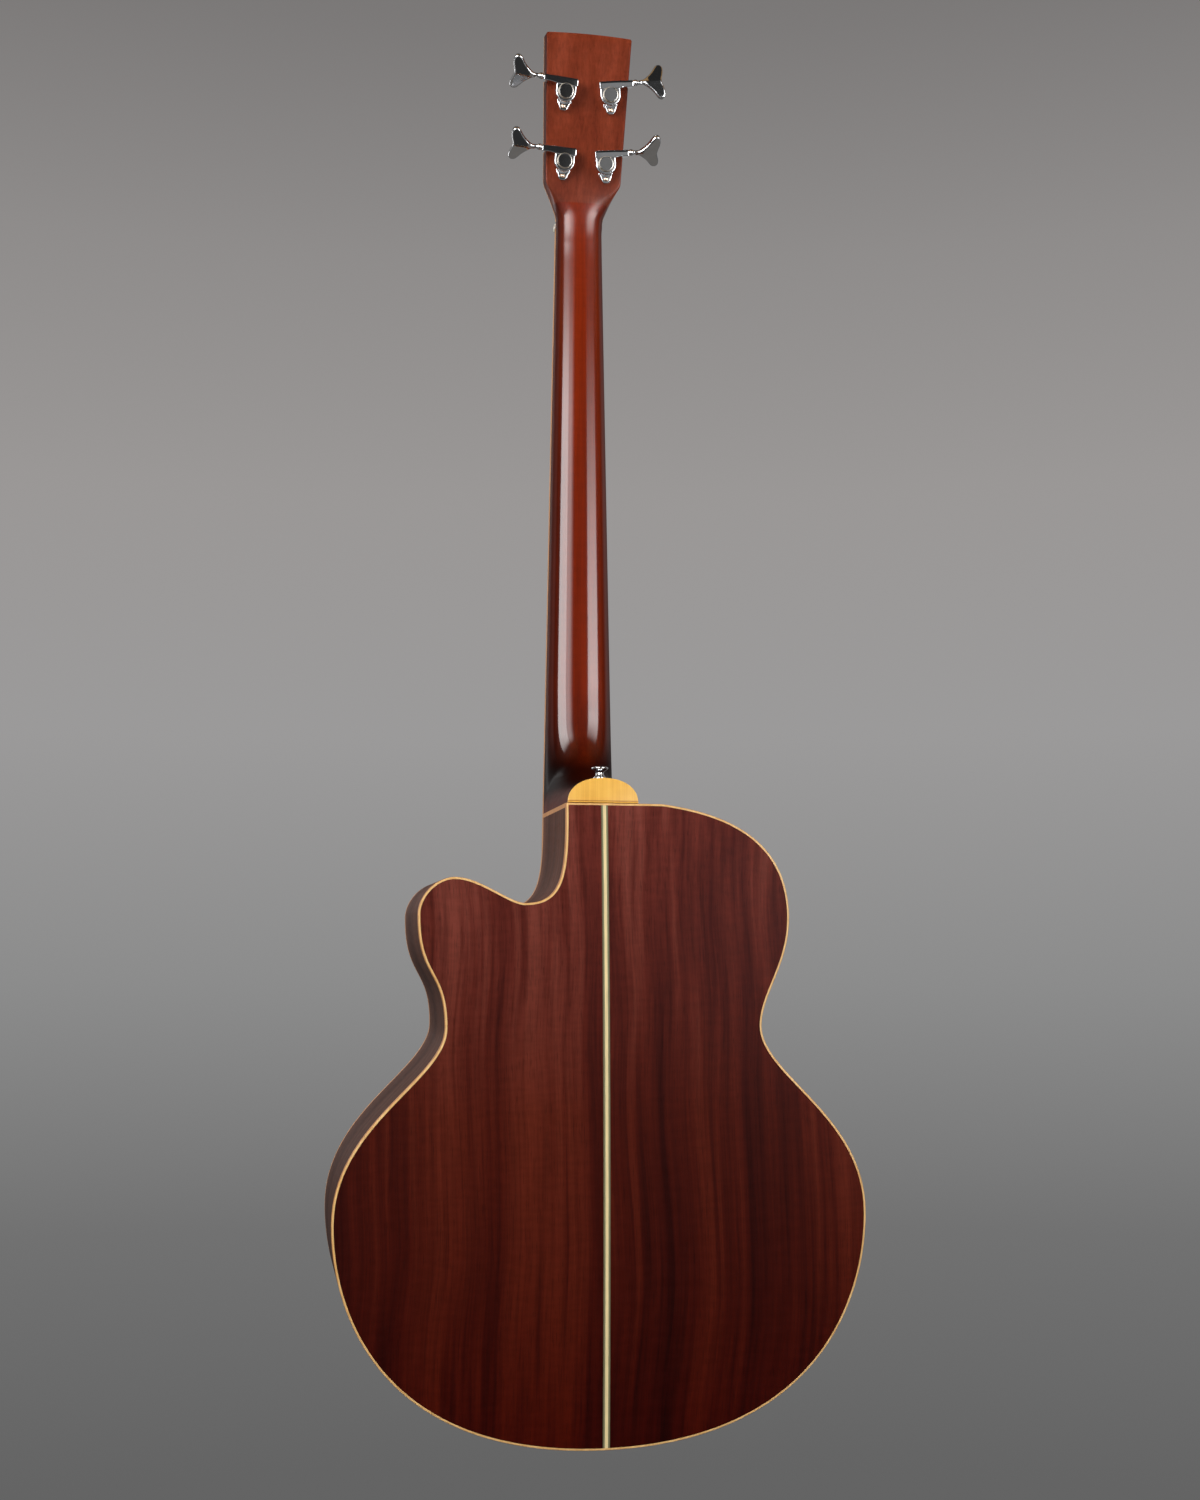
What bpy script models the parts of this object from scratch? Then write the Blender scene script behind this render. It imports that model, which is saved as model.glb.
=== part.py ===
"""Acoustic bass guitar, built piece by piece.

Sizes are in millimetres, and the helpers turn them into metres.
Frame: the origin is on the centre line, at the fretboard's end of the nut, on the seat
of the fretboard. +Z runs up to the headstock, the soundboard faces -Y, and the treble
side with the cutaway is +X.
"""
import math

import bmesh
import bpy
import numpy as np
from mathutils import Matrix, Vector

MM = 0.001
GAP = 0.3

# Strings and frets
SCALE_LENGTH = 863.6
SADDLE_COMPENSATION = 3.0
FRET_COUNT = 22
JOINT_FRET = 17
STRING_DIAMETERS = {"E": 2.67, "A": 2.16, "D": 1.65, "G": 1.14}
STRING_COLUMNS = {"E": -1.5, "A": -0.5, "D": 0.5, "G": 1.5}
NUT_STRING_SPACING = 10.6
SADDLE_STRING_SPACING = 19.0
ACTION_AT_NUT = 0.5
ACTION_AT_SADDLE = 5.2

# Body outline: the line runs in the middle of the binding, z from the joint fret
TAIL_Z = -506.5
TAIL_REACH = 180.0
LOWER_BOUT_HALF = 215.0
LOWER_BOUT_Z = -329.0
LOWER_BOUT_REACH_DOWN = 62.3
LOWER_BOUT_REACH_UP = 76.3
WAIST_HALF = 128.3
WAIST_Z = -179.7
WAIST_REACH_DOWN = 40.3
WAIST_REACH_UP = 26.0
UPPER_BOUT_HALF = 153.9
UPPER_BOUT_Z = -89.4
UPPER_BOUT_REACH_DOWN = 39.9
UPPER_BOUT_REACH_UP = 67.7
SHOULDER_Z = 2.9
SHOULDER_REACH = 94.4
CUTAWAY_WAIST_REACH_UP = 47.1
HORN_HALF = 150.4
HORN_SIDE_Z = -89.8
HORN_REACH_DOWN = 51.1
HORN_REACH_UP = 14.0
HORN_TOP_X = 121.8
HORN_TOP_Z = -61.0
HORN_TOP_REACH_OUT = 15.3
HORN_TOP_REACH_IN = 19.3
CUTAWAY_X = 65.5
CUTAWAY_Z = -81.6
CUTAWAY_REACH_OUT = 13.1
CUTAWAY_REACH_IN = 33.2
CORNER_X = 30.4
CORNER_REACH = 53.8
LINE_INSET = 1.2
JOINT_FLAT = 1.5

# Body shell
RIM_DEPTH_NECK = 126.0
RIM_DEPTH_TAIL = 133.0
BACK_RADIUS = 5000.0
TOP_THICKNESS = 3.0
BACK_THICKNESS = 3.0
EDGE_WIDTH = 2.4
BINDING_HEIGHT = 6.0
LINING_WIDTH = 5.8
LINING_HEIGHT = 14.0
LINING_LIP = 4.5
CENTER_STRIP_WIDTH = 5.8
SEAM_STRIP_WIDTH = 22.0
SEAM_STRIP_THICKNESS = 2.0
CORNER_STRIP_WIDTH = 3.5
NECK_BLOCK_DEPTH = 52.0
NECK_BLOCK_BASS_X = -40.0
NECK_BLOCK_MIDDLE_X = -20.0
END_BLOCK_HALF = 32.0
END_BLOCK_DEPTH = 22.0
PANEL_CELL_X = 54.0
PANEL_CELL_Z = 64.0

# Soundhole, rosette and braces, z from the joint fret
SOUNDHOLE_RADIUS = 50.0
SOUNDHOLE_Z = -165.0
ROSETTE_INNER = 54.0
ROSETTE_OUTER = 62.0
ROSETTE_DEPTH = 1.4
X_BRACE_CROSSING_Z = -245.0
X_BRACE_UPPER_REACH = 112.0
X_BRACE_LOWER_REACH = 158.0
X_BRACE_WIDTH = 8.0
X_BRACE_HEIGHT = 16.0
BRACE_END_HEIGHT = 3.0
BRACE_CREST_SHARE = 0.45
BRACE_SHOULDER_SHARE = 0.6
BRACE_STATIONS = (0.0, 0.12, 0.3, 0.5, 0.7, 0.88, 1.0)
TRANSVERSE_BRACE_Z = -101.0
TRANSVERSE_BRACE_WIDTH = 11.0
TRANSVERSE_BRACE_HEIGHT = 15.0
TONE_BRACES = (((60.0, 0.13), (-110.0, 0.66)), ((92.0, 0.41), (-56.0, 0.895)))
TONE_BRACE_WIDTH = 7.0
TONE_BRACE_HEIGHT = 11.0
BACK_BRACE_ZS = (-118.0, -205.0, -310.0, -415.0)
BACK_BRACE_WIDTHS = (9.0, 9.0, 18.0, 18.0)
BACK_BRACE_HEIGHTS = (15.0, 15.0, 11.0, 11.0)
BRACE_CLEARANCE = 1.2
BRIDGE_PLATE_THICKNESS = 2.5
BRIDGE_PLATE_MARGIN = 3.0

# Bridge and saddle
BRIDGE_HALF_LENGTH = 82.0
BRIDGE_CENTER_HALF = 46.0
BRIDGE_FRONT = 9.0
BRIDGE_REAR = 26.0
BRIDGE_HEIGHT = 9.0
BRIDGE_WING_HEIGHT = 4.2
BRIDGE_WING_TAPER = 12.0
BRIDGE_WING_PULL = 6.0
BRIDGE_RIM_SHARE = 0.55
BRIDGE_BEVEL = 3.0
VALLEY_HEIGHT = 2.8
RIDGE_THICKNESS = 10.0
STRING_HOLE_HEIGHT = 5.0
STRING_HOLE_PLAY = 0.45
SADDLE_THICKNESS = 3.2
SADDLE_LENGTH = 74.0
SADDLE_STATIONS = (-1.0, -0.6, -0.2, 0.2, 0.6, 1.0)
SADDLE_CROWN = 0.8
SADDLE_SLOT_DEPTH = 5.0
BALL_END_RADIUS = 2.9
BALL_END_LENGTH = 5.0

# Neck and fretboard
NECK_WIDTH_AT_NUT = 42.0
NECK_WIDENING = 0.0359
NECK_DEPTH_AT_NUT = 15.6
NECK_DEPTH_AT_JOINT = 21.5
NECK_ROUNDNESS = 2.3
NECK_STATIONS = (1.0, 0.87, 0.72, 0.56, 0.37, 0.19, 0.06, 0.0)
FRETBOARD_THICKNESS = 6.5
FRETBOARD_RADIUS = 400.0
FRETBOARD_OVERHANG = 8.0
FRETBOARD_BINDING = 1.8
FRET_WIDTH = 2.4
FRET_HEIGHT = 1.1
NUT_THICKNESS = 5.0
NUT_WIDTH = 43.6
NUT_LIP = 2.0
TRUSS_SLOT_WIDTH = 6.4
TRUSS_SLOT_DEPTH = 9.5
TRUSS_ROD_START = 12.0

# Heel: depths behind the soundboard's plane, with the rise above the joint there
HEEL_HALF_WIDTH = 29.3
HEEL_CENTER_X = 0.9
HEEL_PROFILE = (
    (1.0, 30.0), (6.0, 42.0), (12.0, 62.0), (17.0, 84.0), (21.0, 70.0), (26.0, 54.0),
    (34.0, 41.0), (46.0, 32.0), (62.0, 26.5), (85.0, 22.5), (105.0, 21.0),
)
HEEL_CAP_RISE = 20.6
HEEL_CAP_THICKNESS = 3.0
HEEL_ROUNDNESS = 2.2

# Headstock, measured along its own plane from the nut
HEAD_TILT = math.radians(14.0)
HEAD_THICKNESS = 17.0
HEAD_LENGTH = 164.6
HEAD_TOP_HALF = 39.0
HEAD_CORNER_HALF = 34.5
HEAD_CORNER_S = 33.5
HEAD_WAIST_HALF = 21.4
HEAD_FLARE_START = 3.5
HEAD_FLARE_BEND = 1.12
HEAD_CROWN = 1.2
HEAD_EASE = 0.7
HEAD_ROUNDNESS = 11.0
HEAD_BLEND = ((0.015, 2.5), (0.2, 3.0), (0.4, 4.0), (0.6, 5.6), (0.8, 8.0), (1.0, HEAD_ROUNDNESS))
HEAD_FACE_STATIONS = (0.2, 0.4, 0.6, 0.8, 0.95)
HEAD_CORNER_ROUND = 2.5
VENEER_THICKNESS = 2.0
HEAD_BINDING = 1.6
VENEER_START = 1.0
CUT_MARGIN = 20.0

# Tuners: places in the headstock's plane, the lengthwise ones as shares, then sizes
POST_X_LOWER = 19.0
POST_SHARE_LOWER = 0.3125
POST_X_UPPER = 20.4
POST_SHARE_UPPER = 0.6807
TUNER_LEANS = {"E": 6.5, "A": 7.5, "D": 4.5, "G": 2.5}
KEY_TURNS = {"E": 46.0, "A": -13.0, "D": -40.0, "G": -42.0}
POST_RADIUS = 4.75
POST_TOP = 24.0
POST_HEAD_RADIUS = 5.6
POST_HEAD_BOTTOM = 17.5
POST_FLANGE_RADIUS = 6.2
POST_SLOT_WIDTH = 2.8
POST_SLOT_DEPTH = 5.5
WINDING_START = 5.2
WINDING_TURNS = 3.0
WINDING_PITCH_GAP = 0.55
BUSHING_RADIUS = 6.6
BUSHING_LENGTH = 13.0
BUSHING_BORE = 5.15
WASHER_RADIUS = 8.8
WASHER_HEIGHT = 1.9
GEAR_TEETH = 16
GEAR_RADIUS = 6.6
GEAR_ROOT = 5.5
GEAR_THICKNESS = 4.0
WORM_RADIUS = 2.6
WORM_AXIS_HEIGHT = 5.8
WORM_LENGTH = 12.0
HOUSING_RADIUS = 9.2
HOUSING_HEIGHT = 9.4
HOUSING_WALL = 1.3
BAR_INNER = -9.6
BAR_OUTER = 22.4
BAR_WIDTH = 7.4
BAR_HEIGHT = 10.4
TAB_LENGTH = 14.0
TAB_ROOT_WIDTH = 13.0
TAB_TIP_WIDTH = 5.0
TAB_THICKNESS = 2.6
SHAFT_RADIUS = 2.3
COLLAR_RADIUS = 3.9
KEY_START = 28.0
KEY_LENGTH = 22.3
KEY_HALF_SPAN = 15.8
KEY_THICKNESS = 5.6
KEY_ROOT_HALF = 2.6
KEY_LOBE_RADIUS = 3.6
KEY_NOTCH = 2.6

# Strap buttons
BUTTON_BASE_RADIUS = 5.5
BUTTON_WAIST_RADIUS = 3.2
BUTTON_TOP_RADIUS = 7.0
BUTTON_HEIGHT = 10.0
HEEL_BUTTON_Y = 110.0
TAIL_BUTTON_Y = 65.0

FINISHES = {
    "mahogany_back": ((0.19, 0.045, 0.028), 0.35, 0.0),
    "mahogany_side": ((0.17, 0.075, 0.05), 0.4, 0.0),
    "mahogany_neck": ((0.16, 0.035, 0.02), 0.25, 0.0),
    "maple": ((0.72, 0.5, 0.27), 0.4, 0.0),
    "spruce": ((0.78, 0.58, 0.34), 0.4, 0.0),
    "inside_wood": ((0.5, 0.33, 0.18), 0.7, 0.0),
    "rosewood": ((0.05, 0.025, 0.018), 0.45, 0.0),
    "black_veneer": ((0.012, 0.01, 0.009), 0.3, 0.0),
    "bone": ((0.85, 0.82, 0.72), 0.4, 0.0),
    "chrome": ((0.75, 0.76, 0.78), 0.12, 1.0),
    "bronze": ((0.65, 0.38, 0.2), 0.35, 1.0),
    "steel": ((0.45, 0.45, 0.46), 0.35, 1.0),
}


def fret_z(number):
    """Height of a fret below the nut."""
    return -SCALE_LENGTH * (1.0 - 2.0 ** (-number / 12.0))


BODY_Z = fret_z(JOINT_FRET)
SADDLE_Z = -SCALE_LENGTH - SADDLE_COMPENSATION
BOARD_END_Z = fret_z(FRET_COUNT) - FRETBOARD_OVERHANG
WORM_TO_POST = GEAR_RADIUS + WORM_RADIUS + 0.4

for leftover in list(bpy.data.objects):
    bpy.data.objects.remove(leftover, do_unlink=True)

PARTS = bpy.data.collections.new("acoustic_bass_guitar")
CUTTERS = bpy.data.collections.new("cutters")
bpy.context.scene.collection.children.link(PARTS)
bpy.context.scene.collection.children.link(CUTTERS)


# Helpers

def metres(x, y, z):
    return Vector((x, y, z)) * MM


def finish(obj, name):
    """Gives an object its own material in one of the finishes."""
    colour, roughness, metallic = FINISHES[name]
    mat = bpy.data.materials.new(obj.name + "_" + name)
    mat.use_nodes = True
    shader = mat.node_tree.nodes["Principled BSDF"]
    shader.inputs["Base Color"].default_value = (*colour, 1.0)
    shader.inputs["Roughness"].default_value = roughness
    shader.inputs["Metallic"].default_value = metallic
    obj.data.materials.clear()
    obj.data.materials.append(mat)
    return obj


def move_to(obj, collection):
    for old in list(obj.users_collection):
        old.objects.unlink(obj)
    collection.objects.link(obj)
    return obj


def as_cutter(obj):
    """Puts an object with the cutters, hidden and drawn as wire."""
    obj.hide_render = True
    obj.display_type = "WIRE"
    return move_to(obj, CUTTERS)


def smooth(obj, angle=35.0):
    obj.data.shade_smooth()
    obj.data.set_sharp_from_angle(angle=math.radians(angle))
    return obj


def mesh_object(name, bm, matrix=None):
    """Turns a bmesh into an object of the parts' collection."""
    bmesh.ops.recalc_face_normals(bm, faces=bm.faces)
    mesh = bpy.data.meshes.new(name)
    bm.to_mesh(mesh)
    bm.free()
    obj = bpy.data.objects.new(name, mesh)
    PARTS.objects.link(obj)
    if matrix is not None:
        obj.matrix_world = matrix
    return obj


def loft(name, sections, cyclic=False):
    """Skins a row of sections, each with the same number of points, in millimetres."""
    bm = bmesh.new()
    rows = [[bm.verts.new(metres(*point)) for point in section] for section in sections]
    count = len(rows[0])
    last = len(rows) if cyclic else len(rows) - 1
    for i in range(last):
        low, high = rows[i], rows[(i + 1) % len(rows)]
        for j in range(count):
            k = (j + 1) % count
            bm.faces.new((low[j], low[k], high[k], high[j]))
    if not cyclic:
        bm.faces.new(rows[0])
        bm.faces.new(rows[-1][::-1])
    return mesh_object(name, bm)


def flat_curve(name, loops, thickness):
    """A flat outline, holes included, with a thickness to both sides of its plane."""
    curve = bpy.data.curves.new(name, "CURVE")
    curve.dimensions = "2D"
    curve.fill_mode = "BOTH"
    curve.extrude = thickness * MM / 2.0
    for loop in loops:
        spline = curve.splines.new("POLY")
        spline.points.add(len(loop) - 1)
        for point, (u, v) in zip(spline.points, loop):
            point.co = (u * MM, v * MM, 0.0, 1.0)
        spline.use_cyclic_u = True
    obj = bpy.data.objects.new(name, curve)
    PARTS.objects.link(obj)
    return obj


def to_mesh(obj):
    """Replaces a curve object by a mesh object with its caps welded on."""
    bpy.context.view_layer.update()
    graph = bpy.context.evaluated_depsgraph_get()
    mesh = bpy.data.meshes.new_from_object(obj.evaluated_get(graph))
    bm = bmesh.new()
    bm.from_mesh(mesh)
    bmesh.ops.remove_doubles(bm, verts=bm.verts, dist=0.00001)
    bm.to_mesh(mesh)
    bm.free()
    matrix = obj.matrix_world.copy()
    name = obj.name
    bpy.data.objects.remove(obj, do_unlink=True)
    solid = bpy.data.objects.new(name, mesh)
    solid.matrix_world = matrix
    PARTS.objects.link(solid)
    return solid


FRONT_VIEW = Matrix.Rotation(math.radians(90.0), 4, "X")


def slab(name, loops, front, back):
    """A plate in the soundboard's plane: loops of (x, z), between two depths y."""
    obj = flat_curve(name, loops, back - front)
    obj.matrix_world = Matrix.Translation(metres(0.0, (front + back) / 2.0, 0.0)) @ FRONT_VIEW
    return to_mesh(obj)


def box(name, low, high, frame=None):
    """A box between two corners, in millimetres, in the given frame."""
    bpy.ops.mesh.primitive_cube_add(size=1.0)
    obj = bpy.context.object
    obj.name = name
    size = [(high[i] - low[i]) * MM for i in range(3)]
    middle = [(high[i] + low[i]) * MM / 2.0 for i in range(3)]
    placed = Matrix.Translation(middle) @ Matrix.Diagonal((*size, 1.0))
    obj.data.transform(placed)
    obj.matrix_world = frame or Matrix.Identity(4)
    return move_to(obj, PARTS)


def rod(name, radius, low, high, frame, sides=12):
    """A cylinder along the frame's Z between two heights."""
    bm = bmesh.new()
    placed = Matrix.Translation(metres(0.0, 0.0, (low + high) / 2.0))
    bmesh.ops.create_cone(bm, cap_ends=True, segments=sides, radius1=radius * MM,
                          radius2=radius * MM, depth=(high - low) * MM, matrix=placed)
    return mesh_object(name, bm, frame)


def turned(name, profile, frame, sides=12, ring=False):
    """Turns a profile of (radius, height), top to bottom, about the frame's Z."""
    mesh = bpy.data.meshes.new(name)
    points = [(radius * MM, 0.0, height * MM) for radius, height in profile]
    edges = [(i, i + 1) for i in range(len(points) - 1)]
    if ring:
        edges.append((len(points) - 1, 0))
    mesh.from_pydata(points, edges, [])
    obj = bpy.data.objects.new(name, mesh)
    PARTS.objects.link(obj)
    obj.matrix_world = frame
    screw = obj.modifiers.new("turn", "SCREW")
    screw.axis = "Z"
    screw.steps = sides
    screw.render_steps = sides
    screw.use_merge_vertices = True
    screw.merge_threshold = 0.00001
    screw.use_smooth_shade = True
    return obj


def cut(obj, cutter, operation="DIFFERENCE"):
    """Cuts or joins one mesh with another, which then goes to the cutters."""
    step = obj.modifiers.new(operation.lower() + "_" + cutter.name, "BOOLEAN")
    step.operation = operation
    step.solver = "EXACT"
    step.object = as_cutter(cutter)
    return obj


def bevel(obj, width, segments=1, angle=40.0):
    step = obj.modifiers.new("bevel", "BEVEL")
    step.width = width * MM
    step.segments = segments
    step.limit_method = "ANGLE"
    step.angle_limit = math.radians(angle)
    return obj


def circle(radius, count, center=(0.0, 0.0)):
    return [(center[0] + radius * math.cos(2.0 * math.pi * i / count),
             center[1] + radius * math.sin(2.0 * math.pi * i / count)) for i in range(count)]


# Body outline

def stretch(start, lead_out, lead_in, end, steps):
    """Points and outward normals along one cubic stretch, its end left out."""
    t = np.linspace(0.0, 1.0, steps + 1)[:-1, None]
    a, b, c, d = (np.array(p, float) for p in (start, lead_out, lead_in, end))
    points = (1 - t) ** 3 * a + 3 * (1 - t) ** 2 * t * b + 3 * (1 - t) * t ** 2 * c + t ** 3 * d
    slopes = (1 - t) ** 2 * (b - a) + 2 * (1 - t) * t * (c - b) + t ** 2 * (d - c)
    slopes /= np.linalg.norm(slopes, axis=1)[:, None]
    return points, np.column_stack((slopes[:, 1], -slopes[:, 0]))


def lower_half():
    """From the tail's middle up to the waist, on the +X side."""
    tail = (0.0, TAIL_Z)
    bout = (LOWER_BOUT_HALF, LOWER_BOUT_Z)
    waist = (WAIST_HALF, WAIST_Z)
    return [
        stretch(tail, (TAIL_REACH, TAIL_Z),
                (LOWER_BOUT_HALF, LOWER_BOUT_Z - LOWER_BOUT_REACH_DOWN), bout, 12),
        stretch(bout, (LOWER_BOUT_HALF, LOWER_BOUT_Z + LOWER_BOUT_REACH_UP),
                (WAIST_HALF, WAIST_Z - WAIST_REACH_DOWN), waist, 8),
    ]


def treble_line():
    """The whole treble side, from the tail's middle to the neck corner."""
    waist = (WAIST_HALF, WAIST_Z)
    horn = (HORN_HALF, HORN_SIDE_Z)
    top = (HORN_TOP_X, HORN_TOP_Z)
    hollow = (CUTAWAY_X, CUTAWAY_Z)
    corner = (CORNER_X, 0.0)
    stretches = lower_half() + [
        stretch(waist, (WAIST_HALF, WAIST_Z + CUTAWAY_WAIST_REACH_UP),
                (HORN_HALF, HORN_SIDE_Z - HORN_REACH_DOWN), horn, 6),
        stretch(horn, (HORN_HALF, HORN_SIDE_Z + HORN_REACH_UP),
                (HORN_TOP_X + HORN_TOP_REACH_OUT, HORN_TOP_Z), top, 6),
        stretch(top, (HORN_TOP_X - HORN_TOP_REACH_IN, HORN_TOP_Z),
                (CUTAWAY_X + CUTAWAY_REACH_OUT, CUTAWAY_Z), hollow, 5),
        stretch(hollow, (CUTAWAY_X - CUTAWAY_REACH_IN, CUTAWAY_Z),
                (CORNER_X, -CORNER_REACH), corner, 7),
    ]
    return (np.vstack([s[0] for s in stretches]), np.vstack([s[1] for s in stretches]))


def bass_line():
    """The whole bass side, from the tail's middle to the middle of the shoulder."""
    waist = (WAIST_HALF, WAIST_Z)
    bout = (UPPER_BOUT_HALF, UPPER_BOUT_Z)
    shoulder = (0.0, SHOULDER_Z)
    stretches = lower_half() + [
        stretch(waist, (WAIST_HALF, WAIST_Z + WAIST_REACH_UP),
                (UPPER_BOUT_HALF, UPPER_BOUT_Z - UPPER_BOUT_REACH_DOWN), bout, 5),
        stretch(bout, (UPPER_BOUT_HALF, UPPER_BOUT_Z + UPPER_BOUT_REACH_UP),
                (SHOULDER_REACH, SHOULDER_Z), shoulder, 9),
    ]
    flip = np.array((-1.0, 1.0))
    return (np.vstack([s[0] for s in stretches]) * flip,
            np.vstack([s[1] for s in stretches]) * flip)


TREBLE_LINE = treble_line()
BASS_LINE = bass_line()


def rail(line, inset):
    """One side's line, the given distance inside the outer edge, in the part's frame."""
    points = line[0] + (LINE_INSET - inset) * line[1]
    points[:, 1] = np.minimum(points[:, 1], JOINT_FLAT - inset)
    return points + np.array((0.0, BODY_Z))


def corner_point(inset):
    """The neck corner of the cutaway, the given distance inside the outer edge."""
    return (CORNER_X + LINE_INSET - inset, BODY_Z + JOINT_FLAT - inset)


def outline(inset):
    """The closed line of the body, the given distance inside its outer edge."""
    treble = rail(TREBLE_LINE, inset)
    bass = rail(BASS_LINE, inset)
    return [tuple(p) for p in treble] + [corner_point(inset)] + [tuple(p) for p in bass[:0:-1]]


def back_y(x, z):
    """Depth of the back's outer surface: a tapered rim under a shallow dome."""
    along = z - BODY_Z
    middle = TAIL_Z / 2.0
    rim = RIM_DEPTH_NECK + (RIM_DEPTH_TAIL - RIM_DEPTH_NECK) * along / TAIL_Z
    return rim + (middle ** 2 - x ** 2 - (along - middle) ** 2) / (2.0 * BACK_RADIUS)


def back_seat(x, z):
    """Depth of the back's inner surface, less the gap."""
    return back_y(x, z) - BACK_THICKNESS - GAP


def top_seat(x, z):
    """Depth of the soundboard's inner surface, plus the gap."""
    return TOP_THICKNESS + GAP


def crossing(rail_points, axis, limit):
    """The first place along a rail where a coordinate's size passes a limit, as an index."""
    values = np.abs(rail_points[:, axis])
    side = values > abs(limit)
    i = int(np.argmax(side != side[0]))
    return i - 1 + (abs(limit) - values[i - 1]) / (values[i] - values[i - 1])


def last_crossing(rail_points, axis, limit):
    """The last such place along a rail."""
    return len(rail_points) - 1 - crossing(rail_points[::-1], axis, limit)


def piece_of(rail_points, start, end):
    """Part of a rail between two fractional indices."""
    whole = [i for i in range(len(rail_points)) if start + 0.15 < i < end - 0.15]
    places = [start] + whole + [end]
    index = np.arange(len(rail_points))
    return [(float(np.interp(i, index, rail_points[:, 0])),
             float(np.interp(i, index, rail_points[:, 1]))) for i in places]


def wall_x(line, z, inset):
    """Where a side's wall, less an inset, crosses a height; the outermost place."""
    points = rail(line, inset)
    best = 0.0
    for (x0, z0), (x1, z1) in zip(points[:-1], points[1:]):
        if (z0 - z) * (z1 - z) <= 0.0 and z0 != z1:
            x = x0 + (x1 - x0) * (z - z0) / (z1 - z0)
            best = x if abs(x) > abs(best) else best
    return best


def brace_end(line, z, width):
    """How far a brace across the body reaches before its corners meet the lining."""
    inset = EDGE_WIDTH + GAP + LINING_WIDTH + BRACE_CLEARANCE
    return min((wall_x(line, z + shift, inset) for shift in (-width / 2.0, 0.0, width / 2.0)),
               key=abs)


# Body pieces

def hoop_sections(outer, inner, front, back):
    """Four-cornered sections between two rails, with depths as functions of (x, z)."""
    return [[(xo, front(xo, zo), zo), (xo, back(xo, zo), zo),
             (xi, back(xi, zi), zi), (xi, front(xi, zi), zi)]
            for (xo, zo), (xi, zi) in zip(outer, inner)]


def binding_inner_front(x, z):
    return BINDING_HEIGHT


def soundboard_face(x, z):
    return 0.0


def side_front(x, z):
    return BINDING_HEIGHT + GAP


def back_binding_front(x, z):
    return back_y(x, z) - BINDING_HEIGHT


def side_back(x, z):
    return back_binding_front(x, z) - GAP


def make_bindings():
    outer = outline(0.0)
    inner = outline(EDGE_WIDTH)
    top = loft("top_binding", hoop_sections(outer, inner, soundboard_face, binding_inner_front), True)
    back = loft("back_binding", hoop_sections(outer, inner, back_binding_front, back_y), True)
    finish(smooth(top), "maple")
    finish(smooth(back), "maple")


def make_sides():
    strip_low = BODY_Z + JOINT_FLAT - CORNER_STRIP_WIDTH
    walls = {"side_treble": (TREBLE_LINE, 1.0), "side_bass": (BASS_LINE, -1.0)}
    for name, (line, hand) in walls.items():
        edges = []
        for inset in (0.0, EDGE_WIDTH):
            points = [tuple(p) for p in rail(line, inset)]
            points[0] = (hand * GAP / 2.0, points[0][1])
            if hand > 0.0:
                points.append((corner_point(inset)[0], strip_low - GAP))
            else:
                points.append((corner_point(EDGE_WIDTH + GAP)[0], corner_point(inset)[1]))
            edges.append(points)
        wall = loft(name, hoop_sections(edges[0], edges[1], side_front, side_back))
        finish(smooth(wall), "mahogany_side")
    outer_x, top_z = corner_point(0.0)
    inner_x = corner_point(EDGE_WIDTH)[0]
    ends = [[(x, z) for x in (outer_x, inner_x)] for z in (strip_low, top_z)]
    strip = loft("cutaway_corner_strip", hoop_sections(
        [ends[0][0], ends[1][0]], [ends[0][1], ends[1][1]], side_front, side_back))
    finish(strip, "maple")


def make_linings():
    tail_limit = END_BLOCK_HALF + GAP
    block_low = BODY_Z - NECK_BLOCK_DEPTH - GAP
    for name, line in (("treble", TREBLE_LINE), ("bass", BASS_LINE)):
        both = [rail(line, EDGE_WIDTH + GAP + inset) for inset in (0.0, LINING_WIDTH)]
        start = max(crossing(edge, 0, tail_limit) for edge in both)
        if name == "treble":
            end = min(last_crossing(edge, 1, block_low) for edge in both)
        else:
            end = min(last_crossing(edge, 0, NECK_BLOCK_BASS_X - GAP) for edge in both)
        rails = [piece_of(edge, start, end) for edge in both]
        for level in ("top", "back"):
            sections = []
            for (xo, zo), (xi, zi) in zip(*rails):
                seat, toward = (top_seat, 1.0) if level == "top" else (back_seat, -1.0)
                foot = seat(xo, zo) + toward * LINING_HEIGHT
                lip = seat(xi, zi) + toward * LINING_LIP
                sections.append([(xo, seat(xo, zo), zo), (xo, foot, zo),
                                 (xi, lip, zi), (xi, seat(xi, zi), zi)])
            strip = loft(level + "_lining_" + name, sections)
            finish(strip, "inside_wood")


def make_blocks():
    reach = EDGE_WIDTH + GAP
    treble_tail = rail(TREBLE_LINE, reach)[:6]
    stations = np.linspace(-END_BLOCK_HALF, END_BLOCK_HALF, 5)
    sections = []
    for x in stations:
        low = float(np.interp(abs(x), treble_tail[:, 0], treble_tail[:, 1]))
        high = treble_tail[0][1] + END_BLOCK_DEPTH
        sections.append([(x, top_seat(x, low), low), (x, back_seat(x, low), low),
                         (x, back_seat(x, high), high), (x, top_seat(x, high), high)])
    finish(loft("end_block", sections), "inside_wood")

    right = corner_point(reach)[0]
    shoulder = rail(BASS_LINE, reach)[:-8:-1]
    low = BODY_Z - NECK_BLOCK_DEPTH
    sections = []
    for x in (NECK_BLOCK_BASS_X, NECK_BLOCK_MIDDLE_X, right):
        high = float(np.interp(-x, -shoulder[:, 0], shoulder[:, 1]))
        sections.append([(x, top_seat(x, low), low), (x, back_seat(x, low), low),
                         (x, back_seat(x, high), high), (x, top_seat(x, high), high)])
    finish(loft("neck_block", sections), "inside_wood")


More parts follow.
